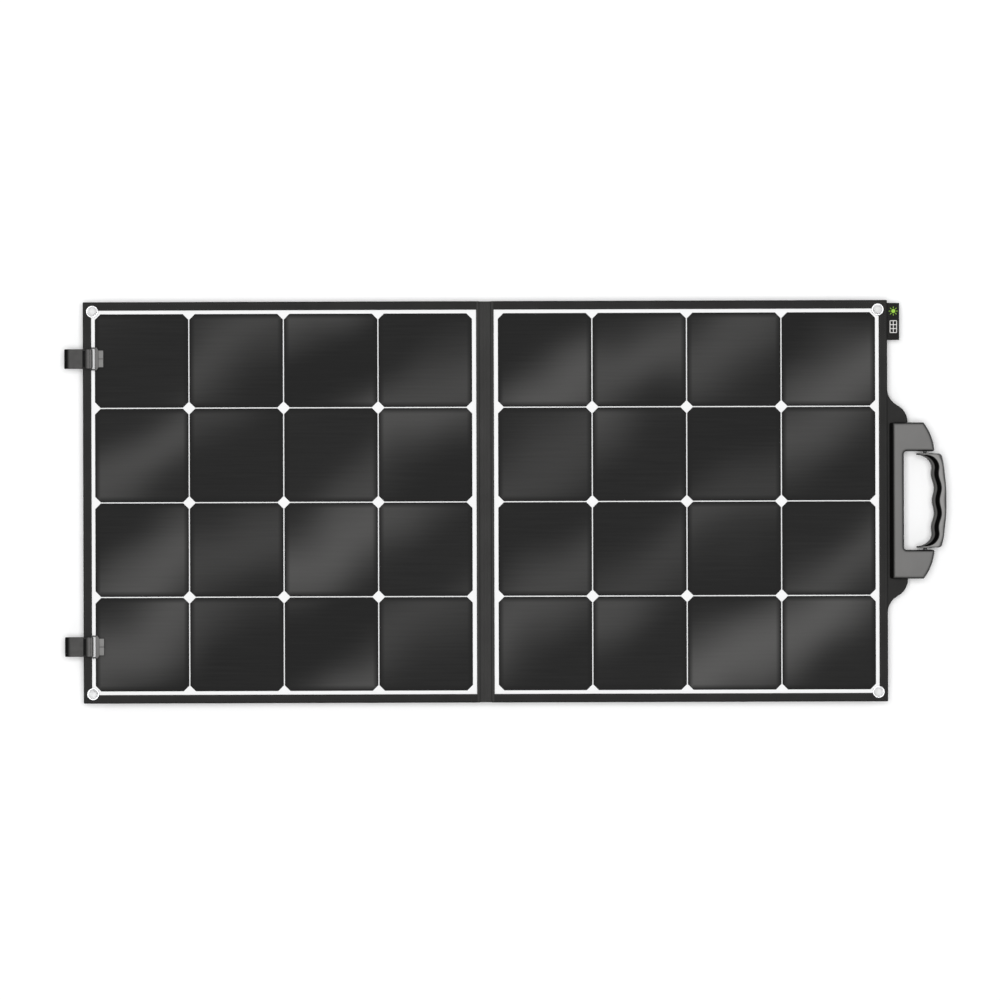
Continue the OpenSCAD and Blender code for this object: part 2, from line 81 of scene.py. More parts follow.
WING = {side: span(f"{side}_front_cover") for side in SIDES}
CELLS = {side: span(f"{side}_cells") for side in SIDES}
SPINE_X = (WING["left"][1].x + WING["right"][0].x) / 2
FRONT_Z = WING["right"][1].z
BACK_Z = span("right_back_cover")[0].z
LAMINATE_Z = span("right_laminate")[1].z
EDGE_X = WING["right"][1].x
HALF_H = WING["right"][1].y
SPINE_HALF = 11.75 * MM
BORDER = 11.25 * MM
CELL_GAP = 1.4 * MM
EYELET_R = 6.25 * MM
EYELET_HOLE_R = EYELET_R + 0.95 * MM
EYELET_INSET = 12.8 * MM
HANDLE_Z = sum(c.z for c in span("pivot_pins")) / 2
PIVOT_X = sum(c.x for c in span("pivot_pins")) / 2


# |normal.z| at which the painted shade on steep faces of moulded and sewn pieces is darkest, and at which they have their full colour
SIDE_SHADE_RANGE = (0.6, 0.97)


def outward(side):
    """+1 on the right wing, -1 on the left one."""
    return 1 if side == "right" else -1


def eyelet_centres(side):
    x = SPINE_X + outward(side) * (EDGE_X - SPINE_X - EYELET_INSET)
    return [(x, y * (HALF_H - EYELET_INSET)) for y in (-1, 1)]


# ---- shader nodes

class Surface:
    """A material and short ways to add nodes to it. Textures follow the object's own coordinates."""

    def __init__(self, name, roughness=0.6, metallic=0.0, **sockets):
        self.material = bpy.data.materials.new(name)
        self.material.use_nodes = True
        self.tree = self.material.node_tree
        self.shader = self.tree.nodes["Principled BSDF"]
        self.set("Roughness", roughness)
        self.set("Metallic", metallic)
        for key, value in sockets.items():
            self.set(key.replace("_", " "), value)
        self.place = self.tree.nodes.new("ShaderNodeTexCoord").outputs["Object"]

    def set(self, socket, value):
        self.shader.inputs[socket].default_value = value

    def add(self, kind, settings=None, **inputs):
        node = self.tree.nodes.new("ShaderNode" + kind)
        for key, value in (settings or {}).items():
            setattr(node, key, value)
        for key, value in inputs.items():
            self.feed(node.inputs[int(key[1:]) if key[0] == "i" else key], value)
        return node

    def feed(self, socket, value):
        if isinstance(value, bpy.types.NodeSocket):
            self.tree.links.new(value, socket)
        else:
            socket.default_value = value

    def math(self, operation, a, b=0.0, c=0.0):
        return self.add("Math", {"operation": operation}, i0=a, i1=b, i2=c).outputs[0]

    def mul(self, a, b):
        return self.math("MULTIPLY", a, b)

    def mad(self, a, b, c):
        """a times b plus c."""
        return self.math("MULTIPLY_ADD", a, b, c)

    def humps(self, value, factor):
        return self.math("ABSOLUTE", self.math("SINE", self.mul(value, factor)))

    def axes(self):
        return self.add("SeparateXYZ", i0=self.place).outputs

    def noise(self, scale, detail=3.0, vector=None):
        node = self.add("TexNoise", Vector=vector or self.place, Scale=scale, Detail=detail)
        return node.outputs["Fac"]

    def stretched(self, sx, sy, sz):
        node = self.add("Mapping", Vector=self.place, Scale=(sx, sy, sz))
        return node.outputs["Vector"]

    def ramp(self, value, low, high):
        """value carried from the range low..high to 0..1, and held at its ends."""
        node = self.add("MapRange", i0=value, i1=low, i2=high)
        return node.outputs["Result"]

    def colour(self, mask, dark, light):
        node = self.add("Mix", {"data_type": "RGBA"})
        self.feed(node.inputs["Factor"], mask)
        for socket, value in ((node.inputs[6], dark), (node.inputs[7], light)):
            self.feed(socket, value if isinstance(value, bpy.types.NodeSocket) else (*value, 1))
        return node.outputs[2]

    def paint(self, mask, dark, light, sides=1.0):
        """Sets the base colour. sides below 1 darkens what isn't level in the object's own frame, as
        painted shade.
        """
        colour = self.colour(mask, dark, light)
        if sides < 1:
            facing = self.add("TexCoord").outputs["Normal"]
            level = self.math("ABSOLUTE", self.add("SeparateXYZ", i0=facing).outputs[2])
            share = self.ramp(level, *SIDE_SHADE_RANGE)
            colour = self.colour(share, self.scaled(colour, sides), colour)
        self.feed(self.shader.inputs["Base Color"], colour)

    def scaled(self, colour, factor):
        node = self.add("VectorMath", {"operation": "SCALE"}, i0=colour)
        node.inputs["Scale"].default_value = factor
        return node.outputs[0]

    def rough(self, mask, low, high):
        node = self.add("MapRange", i0=mask, i3=low, i4=high)
        self.feed(self.shader.inputs["Roughness"], node.outputs["Result"])

    def bump(self, height, depth):
        node = self.add("Bump", Strength=1.0, Distance=depth, Height=height)
        self.feed(self.shader.inputs["Normal"], node.outputs["Normal"])


def grey(value):
    return (value, value * 0.985, value * 0.965)


def weave(s, thread):
    """Height of a plain weave: threads cross over and under in both directions."""
    x, y, z = s.axes()[:3]
    across = s.math("DIVIDE", s.math("ADD", x, z), thread)
    along = s.math("DIVIDE", s.math("ADD", y, z), thread)
    warp = s.humps(across, pi)
    weft = s.humps(along, pi)
    cells = s.math("ADD", s.math("FLOOR", across), s.math("FLOOR", along))
    over = s.math("ABSOLUTE", s.math("MODULO", cells, 2.0))
    kept = s.mul(warp, over)
    rest = s.mul(weft, s.math("SUBTRACT", 1.0, over))
    return s.math("ADD", kept, rest)


def fabric(name, dark, light, thread=0.55 * MM, depth=0.12 * MM):
    s = Surface(name, 0.85, Specular_IOR_Level=0.06, Sheen_Weight=0.02, Sheen_Roughness=0.5)
    threads = weave(s, thread)
    cloudy = s.noise(28.0, 4.0)
    lint = s.ramp(s.noise(2600.0, 2.0), 0.62, 0.8)
    mask = s.mad(threads, 0.55, s.mul(cloudy, 0.5))
    mask = s.math("ADD", mask, s.mul(lint, 0.2))
    # sides: painted shade darkens the fabric's rounded, turned edges
    s.paint(mask, dark, light, sides=0.45)
    s.bump(s.mad(threads, 0.8, s.mul(s.noise(900.0), 0.3)), depth)
    return s.material


def webbing(name, dark, light, along="x", shaded=False):
    """Ribs across the width, with a chevron in each. shaded scales the colour by the mesh's own "shade"
    values, which are painted shade and painted highlight.
    """
    s = Surface(name, 0.8, Specular_IOR_Level=0.1, Sheen_Weight=0.03, Sheen_Roughness=0.4)
    x, y, z = s.axes()[:3]
    run, width = (x, y) if along == "x" else (y, x)
    chevron, rib_pitch, row_pitch = 3.1 * MM, 1.5 * MM, 1.55 * MM
    zigzag = s.math("PINGPONG", width, chevron)
    ribs = s.mul(s.math("ADD", s.math("ADD", run, z), zigzag), 2 * pi / rib_pitch)
    rib = s.mad(s.math("SINE", ribs), 0.5, 0.5)
    rows = s.humps(width, pi / row_pitch)
    height = s.mad(rib, 0.6, s.mul(rows, 0.4))
    mask = s.mad(height, 0.8, s.mul(s.noise(120.0), 0.25))
    if shaded:
        painted_light = s.add("Attribute", {"attribute_name": "shade"}).outputs["Fac"]
        mask = s.mul(mask, painted_light)
    # sides: painted shade on the webbing's steep faces, such as its folded ends
    s.paint(mask, dark, light, sides=0.12)
    s.bump(height, 0.25 * MM)
    return s.material


# webbing whose colour carries painted shade and painted highlight from the mesh's "shade" values
def light_painted_webbing(name, dark, light):
    return webbing(name, dark, light, shaded=True)


def plastic(name, dark, light, roughness=0.42, grain=0.05 * MM):
    """Moulded plastic with spark-eroded grain, faint scuffs and uneven gloss, and painted shade on its
    steep faces.
    """
    s = Surface(name, roughness, Specular_IOR_Level=0.15, Coat_Weight=0.0, Coat_Roughness=0.3)
    fine = s.noise(1900.0, 2.0)
    cloudy = s.noise(35.0, 3.0)
    scuffs = s.ramp(s.noise(260.0, 4.0, s.stretched(1.0, 0.12, 1.0)), 0.6, 0.72)
    s.paint(s.mad(cloudy, 0.8, s.mul(scuffs, 0.15)), dark, light, sides=0.06)
    s.rough(s.mad(scuffs, 0.4, s.mul(cloudy, 0.6)),
            roughness - 0.07, roughness + 0.12)
    s.bump(fine, grain)
    return s.material


def rubber(name, dark, light, specular=0.2):
    s = Surface(name, 0.75, Specular_IOR_Level=specular)
    pores = s.noise(2400.0, 2.0)
    # sides: painted shade on the rubber's steep faces
    s.paint(s.noise(60.0), dark, light, sides=0.3)
    s.bump(pores, 0.06 * MM)
    return s.material


def metal(name, dark, light, roughness=0.28, streak=(1, 1, 18)):
    s = Surface(name, roughness, 1.0)
    brushed = s.noise(700.0, 3.0, s.stretched(*streak))
    s.paint(s.mad(brushed, 0.7, s.mul(s.noise(90.0), 0.3)), dark, light)
    s.rough(brushed, roughness - 0.08, roughness + 0.14)
    s.bump(brushed, 0.015 * MM)
    return s.material


def cell_material(side):
    """Dark silicon under satin film: fine level lines, and a painted sheen, a soft highlight that leans
    across each cell.
    """
    s = Surface(f"cell_{side}", 0.34, Specular_IOR_Level=0.05, Coat_Weight=0.015, Coat_Roughness=0.3)
    lo, hi = CELLS[side]
    pitch = (hi.x - lo.x + CELL_GAP) / 4
    x, y = s.axes()[:2]
    column = s.math("DIVIDE", s.math("SUBTRACT", x, lo.x), pitch)
    row = s.math("DIVIDE", s.math("SUBTRACT", y, lo.y), pitch)
    which = s.add("CombineXYZ", i0=s.math("FLOOR", column), i1=s.math("FLOOR", row),
                  i2=3.0 * outward(side)).outputs[0]
    chance = s.add("TexWhiteNoise", {"noise_dimensions": "3D"}, Vector=which)
    pick = s.add("SeparateColor", i0=chance.outputs["Color"]).outputs
    # painted sheen: soft diagonal bands of lighter colour stand in for reflections on the cells
    lean = s.mad(column, 0.62, s.mul(row, -1.0))
    drift = s.mad(s.noise(5.5, 1.0), 0.5, s.mul(pick[0], 0.6))
    wave = s.math("SINE", s.mul(s.math("ADD", s.mul(lean, 0.5), drift), 2 * pi))
    band = s.math("POWER", s.mad(wave, 0.5, 0.5), 2.1)
    sheen = s.mul(band, s.mad(pick[1], 0.75, 0.25))
    level_lines = s.noise(340.0, 3.0, s.stretched(0.035, 1.0, 1.0))
    lines = s.mul(s.math("SUBTRACT", level_lines, 0.5), 0.16)
    mask = s.math("ADD", s.mul(sheen, 0.9), lines)
    mask = s.math("ADD", mask, s.mul(pick[2], 0.06))
    painted = s.colour(mask, grey(0.0035), grey(0.082))
    # the colour is darker in a narrow band round each cell
    share = (hi.x - lo.x - 3 * pitch) / pitch
    near = [s.math("MINIMUM", f, s.math("SUBTRACT", share, f))
            for f in (s.math("FRACT", column), s.math("FRACT", row))]
    inside = s.ramp(s.math("MINIMUM", *near), 0.005, 0.06)
    s.paint(inside, grey(0.003), painted)
    s.rough(level_lines, 0.3, 0.44)
    dimples = s.add("TexVoronoi", Vector=s.place, Scale=900.0).outputs["Distance"]
    s.bump(s.mad(dimples, 0.5, level_lines), 0.02 * MM)
    return s.material


def backsheet(name):
    s = Surface(name, 0.5, Specular_IOR_Level=0.2)
    dimples = s.add("TexVoronoi", Vector=s.place, Scale=900.0).outputs["Distance"]
    s.paint(s.noise(30.0), (0.79, 0.79, 0.79), (0.84, 0.84, 0.845))
    s.bump(dimples, 0.02 * MM)
    return s.material


def board(name, dark, light):
    s = Surface(name, 0.7)
    s.paint(s.noise(420.0, 5.0, s.stretched(1, 0.1, 1)), dark, light)
    s.bump(s.noise(900.0, 3.0), 0.05 * MM)
    return s.material


MATERIALS = {name: make(name, *look) for make, name, *look in (
    (fabric, "fabric", grey(0.013), grey(0.038)),
    (fabric, "fabric_spine", grey(0.022), grey(0.062)),
    (fabric, "fabric_back", grey(0.014), grey(0.04), 0.8 * MM, 0.18 * MM),
    (light_painted_webbing, "webbing", grey(0.003), grey(0.3)),
    (webbing, "webbing_up", grey(0.03), grey(0.1), "y"),
    (fabric, "binding", grey(0.01), grey(0.024), 1.1 * MM, 0.2 * MM),
    (fabric, "thread", grey(0.03), grey(0.075), 0.3 * MM, 0.05 * MM),
    # near-black bartack thread: partly its own colour, partly painted shadow
    (fabric, "black_thread", grey(0.002), grey(0.006), 0.3 * MM),
    (fabric, "green_thread", (0.26, 0.5, 0.05), (0.42, 0.75, 0.1), 0.3 * MM),
    (fabric, "white_thread", grey(0.62), grey(0.9), 0.3 * MM),
    (backsheet, "backsheet"),
    (metal, "eyelet", (0.72, 0.73, 0.74), (0.93, 0.93, 0.94), 0.24),
    (plastic, "handle_plastic", grey(0.14), grey(0.18), 0.5),
    (plastic, "grip_plastic", grey(0.22), grey(0.29), 0.36),
    (rubber, "grip_rubber", grey(0.06), grey(0.1)),
    # groove: near-black, painted shadow in the recess of the grip
    (rubber, "groove", grey(0.001), grey(0.003), 0.02),
    (rubber, "pad", grey(0.001), grey(0.003), 0.03),
    (metal, "screw", (0.2, 0.2, 0.21), (0.34, 0.34, 0.35), 0.35),
    (metal, "pin", (0.05, 0.05, 0.05), (0.12, 0.12, 0.12), 0.35),
    (plastic, "box_plastic", (0.01, 0.01, 0.011), (0.02, 0.02, 0.021), 0.5),
    (plastic, "zip", (0.01, 0.01, 0.01), (0.024, 0.024, 0.024), 0.4, 0.02 * MM),
    (metal, "zip_metal", (0.2, 0.2, 0.21), (0.36, 0.36, 0.37), 0.3),
    (plastic, "buckle", grey(0.11), grey(0.17), 0.45),
    # one buckle plastic in three tones: the darker is painted shade, the lighter a painted highlight
    (plastic, "buckle_dark", grey(0.015), grey(0.04), 0.5),
    (plastic, "buckle_light", grey(0.17), grey(0.24), 0.45),
    (board, "board", (0.32, 0.25, 0.16), (0.5, 0.4, 0.27)),
    (board, "foam", (0.6, 0.58, 0.52), (0.75, 0.73, 0.68)),
    (metal, "ribbon", (0.6, 0.5, 0.42), (0.78, 0.7, 0.62), 0.35, (18, 1, 1)),
)}


# ---- mesh helpers

def settle(obj, body, material, slot, *stands_for, smooth=35):
    """Gives a new piece its material and body, and hides the CAD nodes it stands for. slot is not used.
    """
    obj.data.materials.append(MATERIALS[material])
    shade(obj, smooth)
    if body:
        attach(obj, body)
    if stands_for:
        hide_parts(*stands_for)
    return obj


def shade(obj, angle):
    obj.data.shade_smooth()
    obj.data.set_sharp_from_angle(angle=radians(angle))


def link(name, data):
    obj = bpy.data.objects.new(name, data)
    bpy.context.scene.collection.objects.link(obj)
    return obj


def from_shape(name, shape):
    mesh = bpy.data.meshes.new(name)
    shape.to_mesh(mesh)
    shape.free()
    return link(name, mesh)


def mesh_object(name, points, faces):
    mesh = bpy.data.meshes.new(name)
    mesh.from_pydata([tuple(p) for p in points], [], faces)
    mesh.validate()
    mesh.update()
    obj = link(name, mesh)
    tidy_normals(obj)
    return obj


def tidy_normals(obj, weld=False):
    shape = bmesh.new()
    shape.from_mesh(obj.data)
    if weld:
        bmesh.ops.remove_doubles(shape, verts=shape.verts, dist=1e-6)
    bmesh.ops.recalc_face_normals(shape, faces=shape.faces)
    shape.to_mesh(obj.data)
    shape.free()


def tube_faces(length, count, base=0, cap_ends=True, closed_tube=False):
    """Quads between rings of count points whose numbers start at base, with a face on each end."""
    faces = []
    for i in range(length if closed_tube else length - 1):
        a, b = base + i * count, base + (i + 1) % length * count
        for j in range(count):
            k = (j + 1) % count
            faces.append((a + j, a + k, b + k, b + j))
    if cap_ends and not closed_tube:
        for start in (base, base + (length - 1) * count):
            faces.append(tuple(range(start, start + count)))
    return faces


def ring_object(name, rings, **ends):
    """Joins rings of points with quads. Each ring is a list of the same length."""
    points = [p for ring in rings for p in ring]
    return mesh_object(name, points, tube_faces(len(rings), len(rings[0]), **ends))


def prism(name, outline, z0, z1, bevel, segments=4):
    """A flat plate of any outline, with rounded top and bottom edges."""
    shape = bmesh.new()
    base = [shape.verts.new((x, y, z0)) for x, y in outline]
    face = shape.faces.new(base)
    made = bmesh.ops.extrude_face_region(shape, geom=[face])
    top = [g for g in made["geom"] if isinstance(g, bmesh.types.BMVert)]
    bmesh.ops.translate(shape, verts=top, vec=(0, 0, z1 - z0))
    rims = [e for e in shape.edges if abs(e.verts[0].co.z - e.verts[1].co.z) < 1e-7]
    bmesh.ops.bevel(shape, geom=rims, offset=bevel, segments=segments, profile=0.5, affect="EDGES",
                    clamp_overlap=True)
    bmesh.ops.recalc_face_normals(shape, faces=shape.faces)
    return from_shape(name, shape)


def join(name, objects):
    shape = bmesh.new()
    for o in objects:
        shape.from_mesh(o.data)
    for o in objects:
        bpy.data.objects.remove(o)
    return from_shape(name, shape)


def apply_modifiers(obj):
    graph = bpy.context.evaluated_depsgraph_get()
    mesh = bpy.data.meshes.new_from_object(obj.evaluated_get(graph))
    obj.modifiers.clear()
    obj.data = mesh


def frame_joint(name):
    for joint in frame["joints"]:
        if joint["name"] == name:
            return Vector(joint["pos_m"])
    raise KeyError(name)


def steps(a, b, count):
    return [a + (b - a) * k / count for k in range(count + 1)]


def arc(cx, cy, r, start, end, count):
    """Points of an arc, with its angles in degrees."""
    angles = [radians(a) for a in steps(start, end, count)]
    return [(cx + r * cos(a), cy + r * sin(a)) for a in angles]


def rounded_rect(x0, x1, y0, y1, r, corner=5, side=1):
    """A rounded rectangle, anticlockwise from the lower end of its lower right corner."""
    corners = [(x1 - r, y0 + r, -90), (x1 - r, y1 - r, 0), (x0 + r, y1 - r, 90), (x0 + r, y0 + r, 180)]
    turns = [arc(cx, cy, r, start, start + 90, corner) for cx, cy, start in corners]
    points = []
    for turn, following in zip(turns, turns[1:] + turns[:1]):
        (ax, ay), (bx, by) = turn[-1], following[0]
        shares = [k / side for k in range(1, side)]
        points += turn + [(ax + (bx - ax) * t, ay + (by - ay) * t) for t in shares]
    return points


def lathe(name, profile, centre, axis="z", count=48):
    """Turns a closed profile of (radius, height) round an axis through centre."""
    rings = []
    for i in range(count):
        a = 2 * pi * i / count
        turned = [(r * cos(a), r * sin(a), h) for r, h in profile]
        rings.append([Vector(centre) + Vector((x, y, h) if axis == "z" else (x, h, y))
                      for x, y, h in turned])
    return ring_object(name, rings, closed_tube=True)


def soften(node, material, width=0.3 * MM, segments=2, angle=35):
    """Rounds the sharp edges of a CAD node and gives it its material."""
    obj = NODES[node]
    dress(node, material)
    weld = obj.modifiers.new("weld", "WELD")
    weld.merge_threshold = 1e-6
    bevel = obj.modifiers.new("edges", "BEVEL")
    bevel.width = width
    bevel.segments = segments
    bevel.limit_method = "ANGLE"
    bevel.angle_limit = radians(angle)
    bevel.harden_normals = True
    obj.data.shade_smooth()


def dress(node, material):
    obj = NODES[node]
    obj.data.materials.clear()
    obj.data.materials.append(MATERIALS[material] if isinstance(material, str) else material)


def stitches(name, path, body, pitch=3.2 * MM, length=2.3 * MM, radius=0.3 * MM, up=(0, 0, 1),
             thread="thread"):
    """A row of thread stitches along a path of points."""
    points, faces = [], []
    up = Vector(up)
    travelled, next_at = 0.0, pitch / 2
    for a, b in zip(path, path[1:]):
        a, b = Vector(a), Vector(b)
        step = (b - a).length
        if step < 1e-9:
            continue
        ahead = (b - a) / step
        side = ahead.cross(up).normalized()
        while next_at <= travelled + step:
            middle = a + ahead * (next_at - travelled)
            rings = ((-0.5, 0.15), (-0.3, 0.85), (0.0, 1.0), (0.3, 0.85), (0.5, 0.15))
            base = len(points)
            for along, fat in rings:
                for k in range(6):
                    turn = pi * k / 3
                    rise = sin(turn) * 0.8 + 0.25 - abs(along) * 0.9
                    points.append(middle + ahead * (along * length)
                                  + side * (cos(turn) * fat * radius) + up * (rise * fat * radius))
            faces += tube_faces(len(rings), 6, base)
            next_at += pitch
        travelled += step
    obj = mesh_object(name, points, faces)
    return settle(obj, body, thread, "webbing", smooth=80)


def corner_cut(r, left):
    """How far a corner of radius r draws an edge in, where the end of the edge is left away."""
    return r - sqrt(max(0.0, r * r - (r - left) ** 2)) if left < r else 0.0


def ripple(x, y, scale, seed):
    return noise.noise(Vector((x * scale, y * scale, seed)))


def cloth_slab(name, rows, x_low, x_high, z0, z1, edge=0.8 * MM, wrinkle=0.12 * MM,
               columns=26, seed=1.0):
    """A flat sewn panel: two skins that meet in a rounded edge. rows are its y values, and x_low and
    x_high give its sides at each y. wrinkle waves the lower skin."""
    middle, half = (z0 + z1) / 2, (z1 - z0) / 2
    top, bottom = [], []
    y_first, y_last = rows[0], rows[-1]
    for y in rows:
        left, right = x_low(y), x_high(y)
        up_row, low_row = [], []
        for c in range(columns + 1):
            t = 0.5 - 0.5 * cos(pi * c / columns)
            x = left + (right - left) * t
            reach = min(x - left, right - x, y - y_first, y_last - y)
            near = min(1.0, max(0.0, reach / edge))
            fullness = sqrt(max(0.0, 1 - (1 - near) ** 2))
            wave = wrinkle * ripple(x, y, 14.0, seed) * near
            up_row.append(Vector((x, y, middle + half * fullness)))
            low_row.append(Vector((x, y, middle - half * fullness + wave)))
        top.append(up_row)
        bottom.append(low_row)
    count = columns + 1
    points = [p for row in top for p in row] + [p for row in bottom for p in row]
    shift = len(rows) * count
    faces = []
    for r in range(len(rows) - 1):
        for c in range(columns):
            a, b = r * count + c, (r + 1) * count + c
            faces.append((a, a + 1, b + 1, b))
            faces.append((shift + a, shift + b, shift + b + 1, shift + a + 1))
    last = (len(rows) - 1) * count
    for c in range(columns):
        faces.append((c, shift + c, shift + c + 1, c + 1))
        faces.append((last + c, last + c + 1, shift + last + c + 1, shift + last + c))
    for r in range(len(rows) - 1):
        a, b = r * count, (r + 1) * count
        faces.append((a, b, shift + b, shift + a))
        faces.append((a + columns, shift + a + columns, shift + b + columns, b + columns))
    obj = mesh_object(name, points, faces)
    tidy_normals(obj, weld=True)
    return obj


def eased(y0, y1, edge, count):
    """Values from y0 to y1 that crowd together within an edge's width of both ends."""
    close = [0, 0.12, 0.35, 0.65, 1.0]
    ends = [y0 + edge * c for c in close]
    inner = [ends[-1] + (y1 - edge - ends[-1]) * i / count for i in range(1, count)]
    return ends + inner + [y1 - edge * c for c in reversed(close)]


def band(name, path, side, width, thickness):
    """Webbing along a path: side points across it, and its edges are thinner than its middle."""
    side = Vector(side).normalized()
    profile = [(-0.5, 0.0), (-0.485, 0.32), (-0.45, 0.47), (-0.2, 0.5), (0.2, 0.5), (0.45, 0.47),
               (0.485, 0.32), (0.5, 0.0), (0.485, -0.32), (0.45, -0.47), (0.2, -0.5), (-0.2, -0.5),
               (-0.45, -0.47), (-0.485, -0.32)]
    path = [Vector(p) for p in path]
    rings = []
    for i, p in enumerate(path):
        ahead = (path[min(i + 1, len(path) - 1)] - path[max(i - 1, 0)]).normalized()
        normal = ahead.cross(side).normalized()
        rings.append([p + side * (u * width) + normal * (v * thickness) for u, v in profile])
    return ring_object(name, rings)


# ---- the wings

def cut_eyelets(obj, side, radius):
    cutters = []
    for x, y in eyelet_centres(side):
        outline = arc(x, y, radius, 0, 360, 40)[:-1]
        cutters.append(prism("cutter", outline, BACK_Z - 5 * MM, FRONT_Z + 5 * MM, 0.01 * MM, 1))
    cutter = join("cutter", cutters)
    hole = obj.modifiers.new("eyelets", "BOOLEAN")
    hole.operation = "DIFFERENCE"
    hole.solver = "EXACT"
    hole.object = cutter
    apply_modifiers(obj)
    bpy.data.objects.remove(cutter)


def wing_loop(side, inset, z):
    """A loop round a wing, inset from its edges. The strip beside the spine is narrower."""
    lo, hi = WING[side]
    share = inset / BORDER
    spine_inset = share * (SPINE_HALF - abs(SPINE_X - (lo.x if side == "right" else hi.x)))
    x0 = lo.x + (spine_inset if side == "right" else inset)
    x1 = hi.x - (inset if side == "right" else spine_inset)
    r = max(0.3 * MM, 1.5 * MM - inset)
    loop = rounded_rect(x0, x1, lo.y + inset, hi.y - inset, r, corner=6, side=30)
    wobble = 0.12 * MM * max(0.0, 1 - share * 2)
    return [Vector((x + wobble * ripple(x, y, 30, 2.0), y + wobble * ripple(x, y, 30, 9.0), z))
            for x, y in loop]


def front_cover(side):
    """Fabric border: a turned outer edge, a sewn groove, a flat strip and a folded inner edge."""
    z = FRONT_Z
    profile = [(3.0, -8.25), (0.9, -8.15), (0.2, -7.4), (0.0, -5.8), (0.0, -2.4), (0.2, -1.0),
               (0.8, -0.15), (1.7, 0.1), (2.7, 0.05), (3.3, -0.28), (3.6, -0.28), (4.2, 0.0),
               (5.5, 0.08), (8.0, 0.08), (9.1, 0.0), (9.5, -0.12), (9.9, 0.0), (11.1, 0.02),
               (11.45, -0.2), (11.52, -0.7), (11.52, -1.42)]
    rings = [wing_loop(side, d * MM, z + h * MM) for d, h in profile]
    obj = ring_object(f"{side}_fabric_border", rings, cap_ends=False)
    cut_eyelets(obj, side, EYELET_HOLE_R)
    settle(obj, f"{side}_wing", "fabric", "fabric", f"{side}_front_cover", smooth=50)
    for name, inset, lift in (("outer", 3.45, -0.2), ("inner", 9.5, -0.05)):
        path = wing_loop(side, inset * MM, z + lift * MM)
        row = clear_of_eyelets(path + path[:1], side)
        stitches(f"{side}_border_{name}_stitches", row, f"{side}_wing")


def clear_of_eyelets(path, side):
    """The path with closely spaced points, less what the eyelets cover."""
    centres = [Vector(c) for c in eyelet_centres(side)]
    spacing, clear = 1.5 * MM, 9.5 * MM
    kept = []
    for a, b in zip(path, path[1:]):
        parts = max(1, int((b - a).length / spacing))
        for p in (a.lerp(b, k / parts) for k in range(parts)):
            if min((p.xy - c).length for c in centres) > clear:
                kept.append(p)
    return kept


def back_cover(side):
    lo, hi = span(f"{side}_back_cover")
    hem = 1.2 * MM
    rows = eased(lo.y + hem, hi.y - hem, hem, 40)
    obj = cloth_slab(f"{side}_back_fabric", rows, lambda y: lo.x + hem, lambda y: hi.x - hem,
                     lo.z, hi.z, wrinkle=0.2 * MM, columns=40, seed=outward(side) + 4.0)
    cut_eyelets(obj, side, EYELET_HOLE_R)
    settle(obj, f"{side}_wing", "fabric_back", "fabric", f"{side}_back_cover", smooth=50)


def eyelets(side):
    """Two-part eyelets: a domed front flange, a rolled barrel and a flat washer behind."""
    top, low = FRONT_Z + 0.8 * MM, BACK_Z - 0.8 * MM
    seat = LAMINATE_Z + 0.05 * MM
    profile = [(EYELET_R + d * MM, z + h * MM) for d, z, h in (
        (0, low, 0.5), (0, top, -1.1), (0.2, top, -0.45), (0.6, top, -0.08), (1.0, top, 0),
        (1.45, top, -0.12), (1.85, top, -0.5), (2.05, top, -1.0), (2.0, seat, 0), (0.9, seat, 0),
        (0.9, low, 0.75), (1.9, low, 0.7), (2.05, low, 0.4), (1.8, low, 0.05), (0.5, low, 0),
        (0.12, low, 0.15))]
    parts = [lathe("eyelet", profile, (x, y, 0)) for x, y in eyelet_centres(side)]
    obj = join(f"{side}_eyelet_rings", parts)
    settle(obj, f"{side}_wing", "eyelet", "eyelet", f"{side}_eyelets", smooth=50)


def laminate(side):
    dress(f"{side}_laminate", "backsheet")
    dress(f"{side}_cells", cell_material(side))
    dress(f"{side}_stiffener", "board")
    dress(f"{side}_foam", "foam")


# ---- the spine

def spine_sheet(side):
    """One half of the spine's fabric. It is sewn on the wing's border and folds beside the wing."""
    way = outward(side)
    lo, hi = span("spine_fabric")
    profile = [(0.0, 16.3), (1.3, 16.35), (1.75, 16.6), (2.1, 16.72), (2.5, 16.6), (3.0, 16.45),
               (4.6, 16.6), (6.0, 16.9), (7.2, 17.4), (8.3, 17.9), (9.2, 18.2), (10.6, 18.3),
               (11.3, 18.2), (11.7, 17.7)]
    count, hem, thick, width = 90, 0.4 * MM, 0.55 * MM, profile[-1][0]
    rings = []
    for i in range(count + 1):
        y = lo.y + hem + (hi.y - lo.y - 2 * hem) * i / count
        top, bottom = [], []
        for d, z in profile:
            sag = 0.12 * MM * ripple(d * MM, y, 25.0, 6.0) * sin(pi * d / width)
            top.append(Vector((SPINE_X + way * d * MM, y, z * MM + sag)))
            bottom.append(Vector((SPINE_X + way * d * MM, y, z * MM + sag - thick)))
        rings.append(top + bottom[::-1])
    obj = ring_object(f"spine_cloth_{side}", rings)
    shown = ["spine_fabric"] if side == "right" else []
    settle(obj, None, "fabric_spine", "fabric", *shown, smooth=60)
    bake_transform(obj)
    seam_x, seam_z, seam_half = SPINE_X + way * 2.75 * MM, 16.5 * MM, 268
    path = [Vector((seam_x, y * MM, seam_z)) for y in range(-seam_half, seam_half + 1, 4)]
    stitches(f"spine_{side}_stitches", path, "spine")


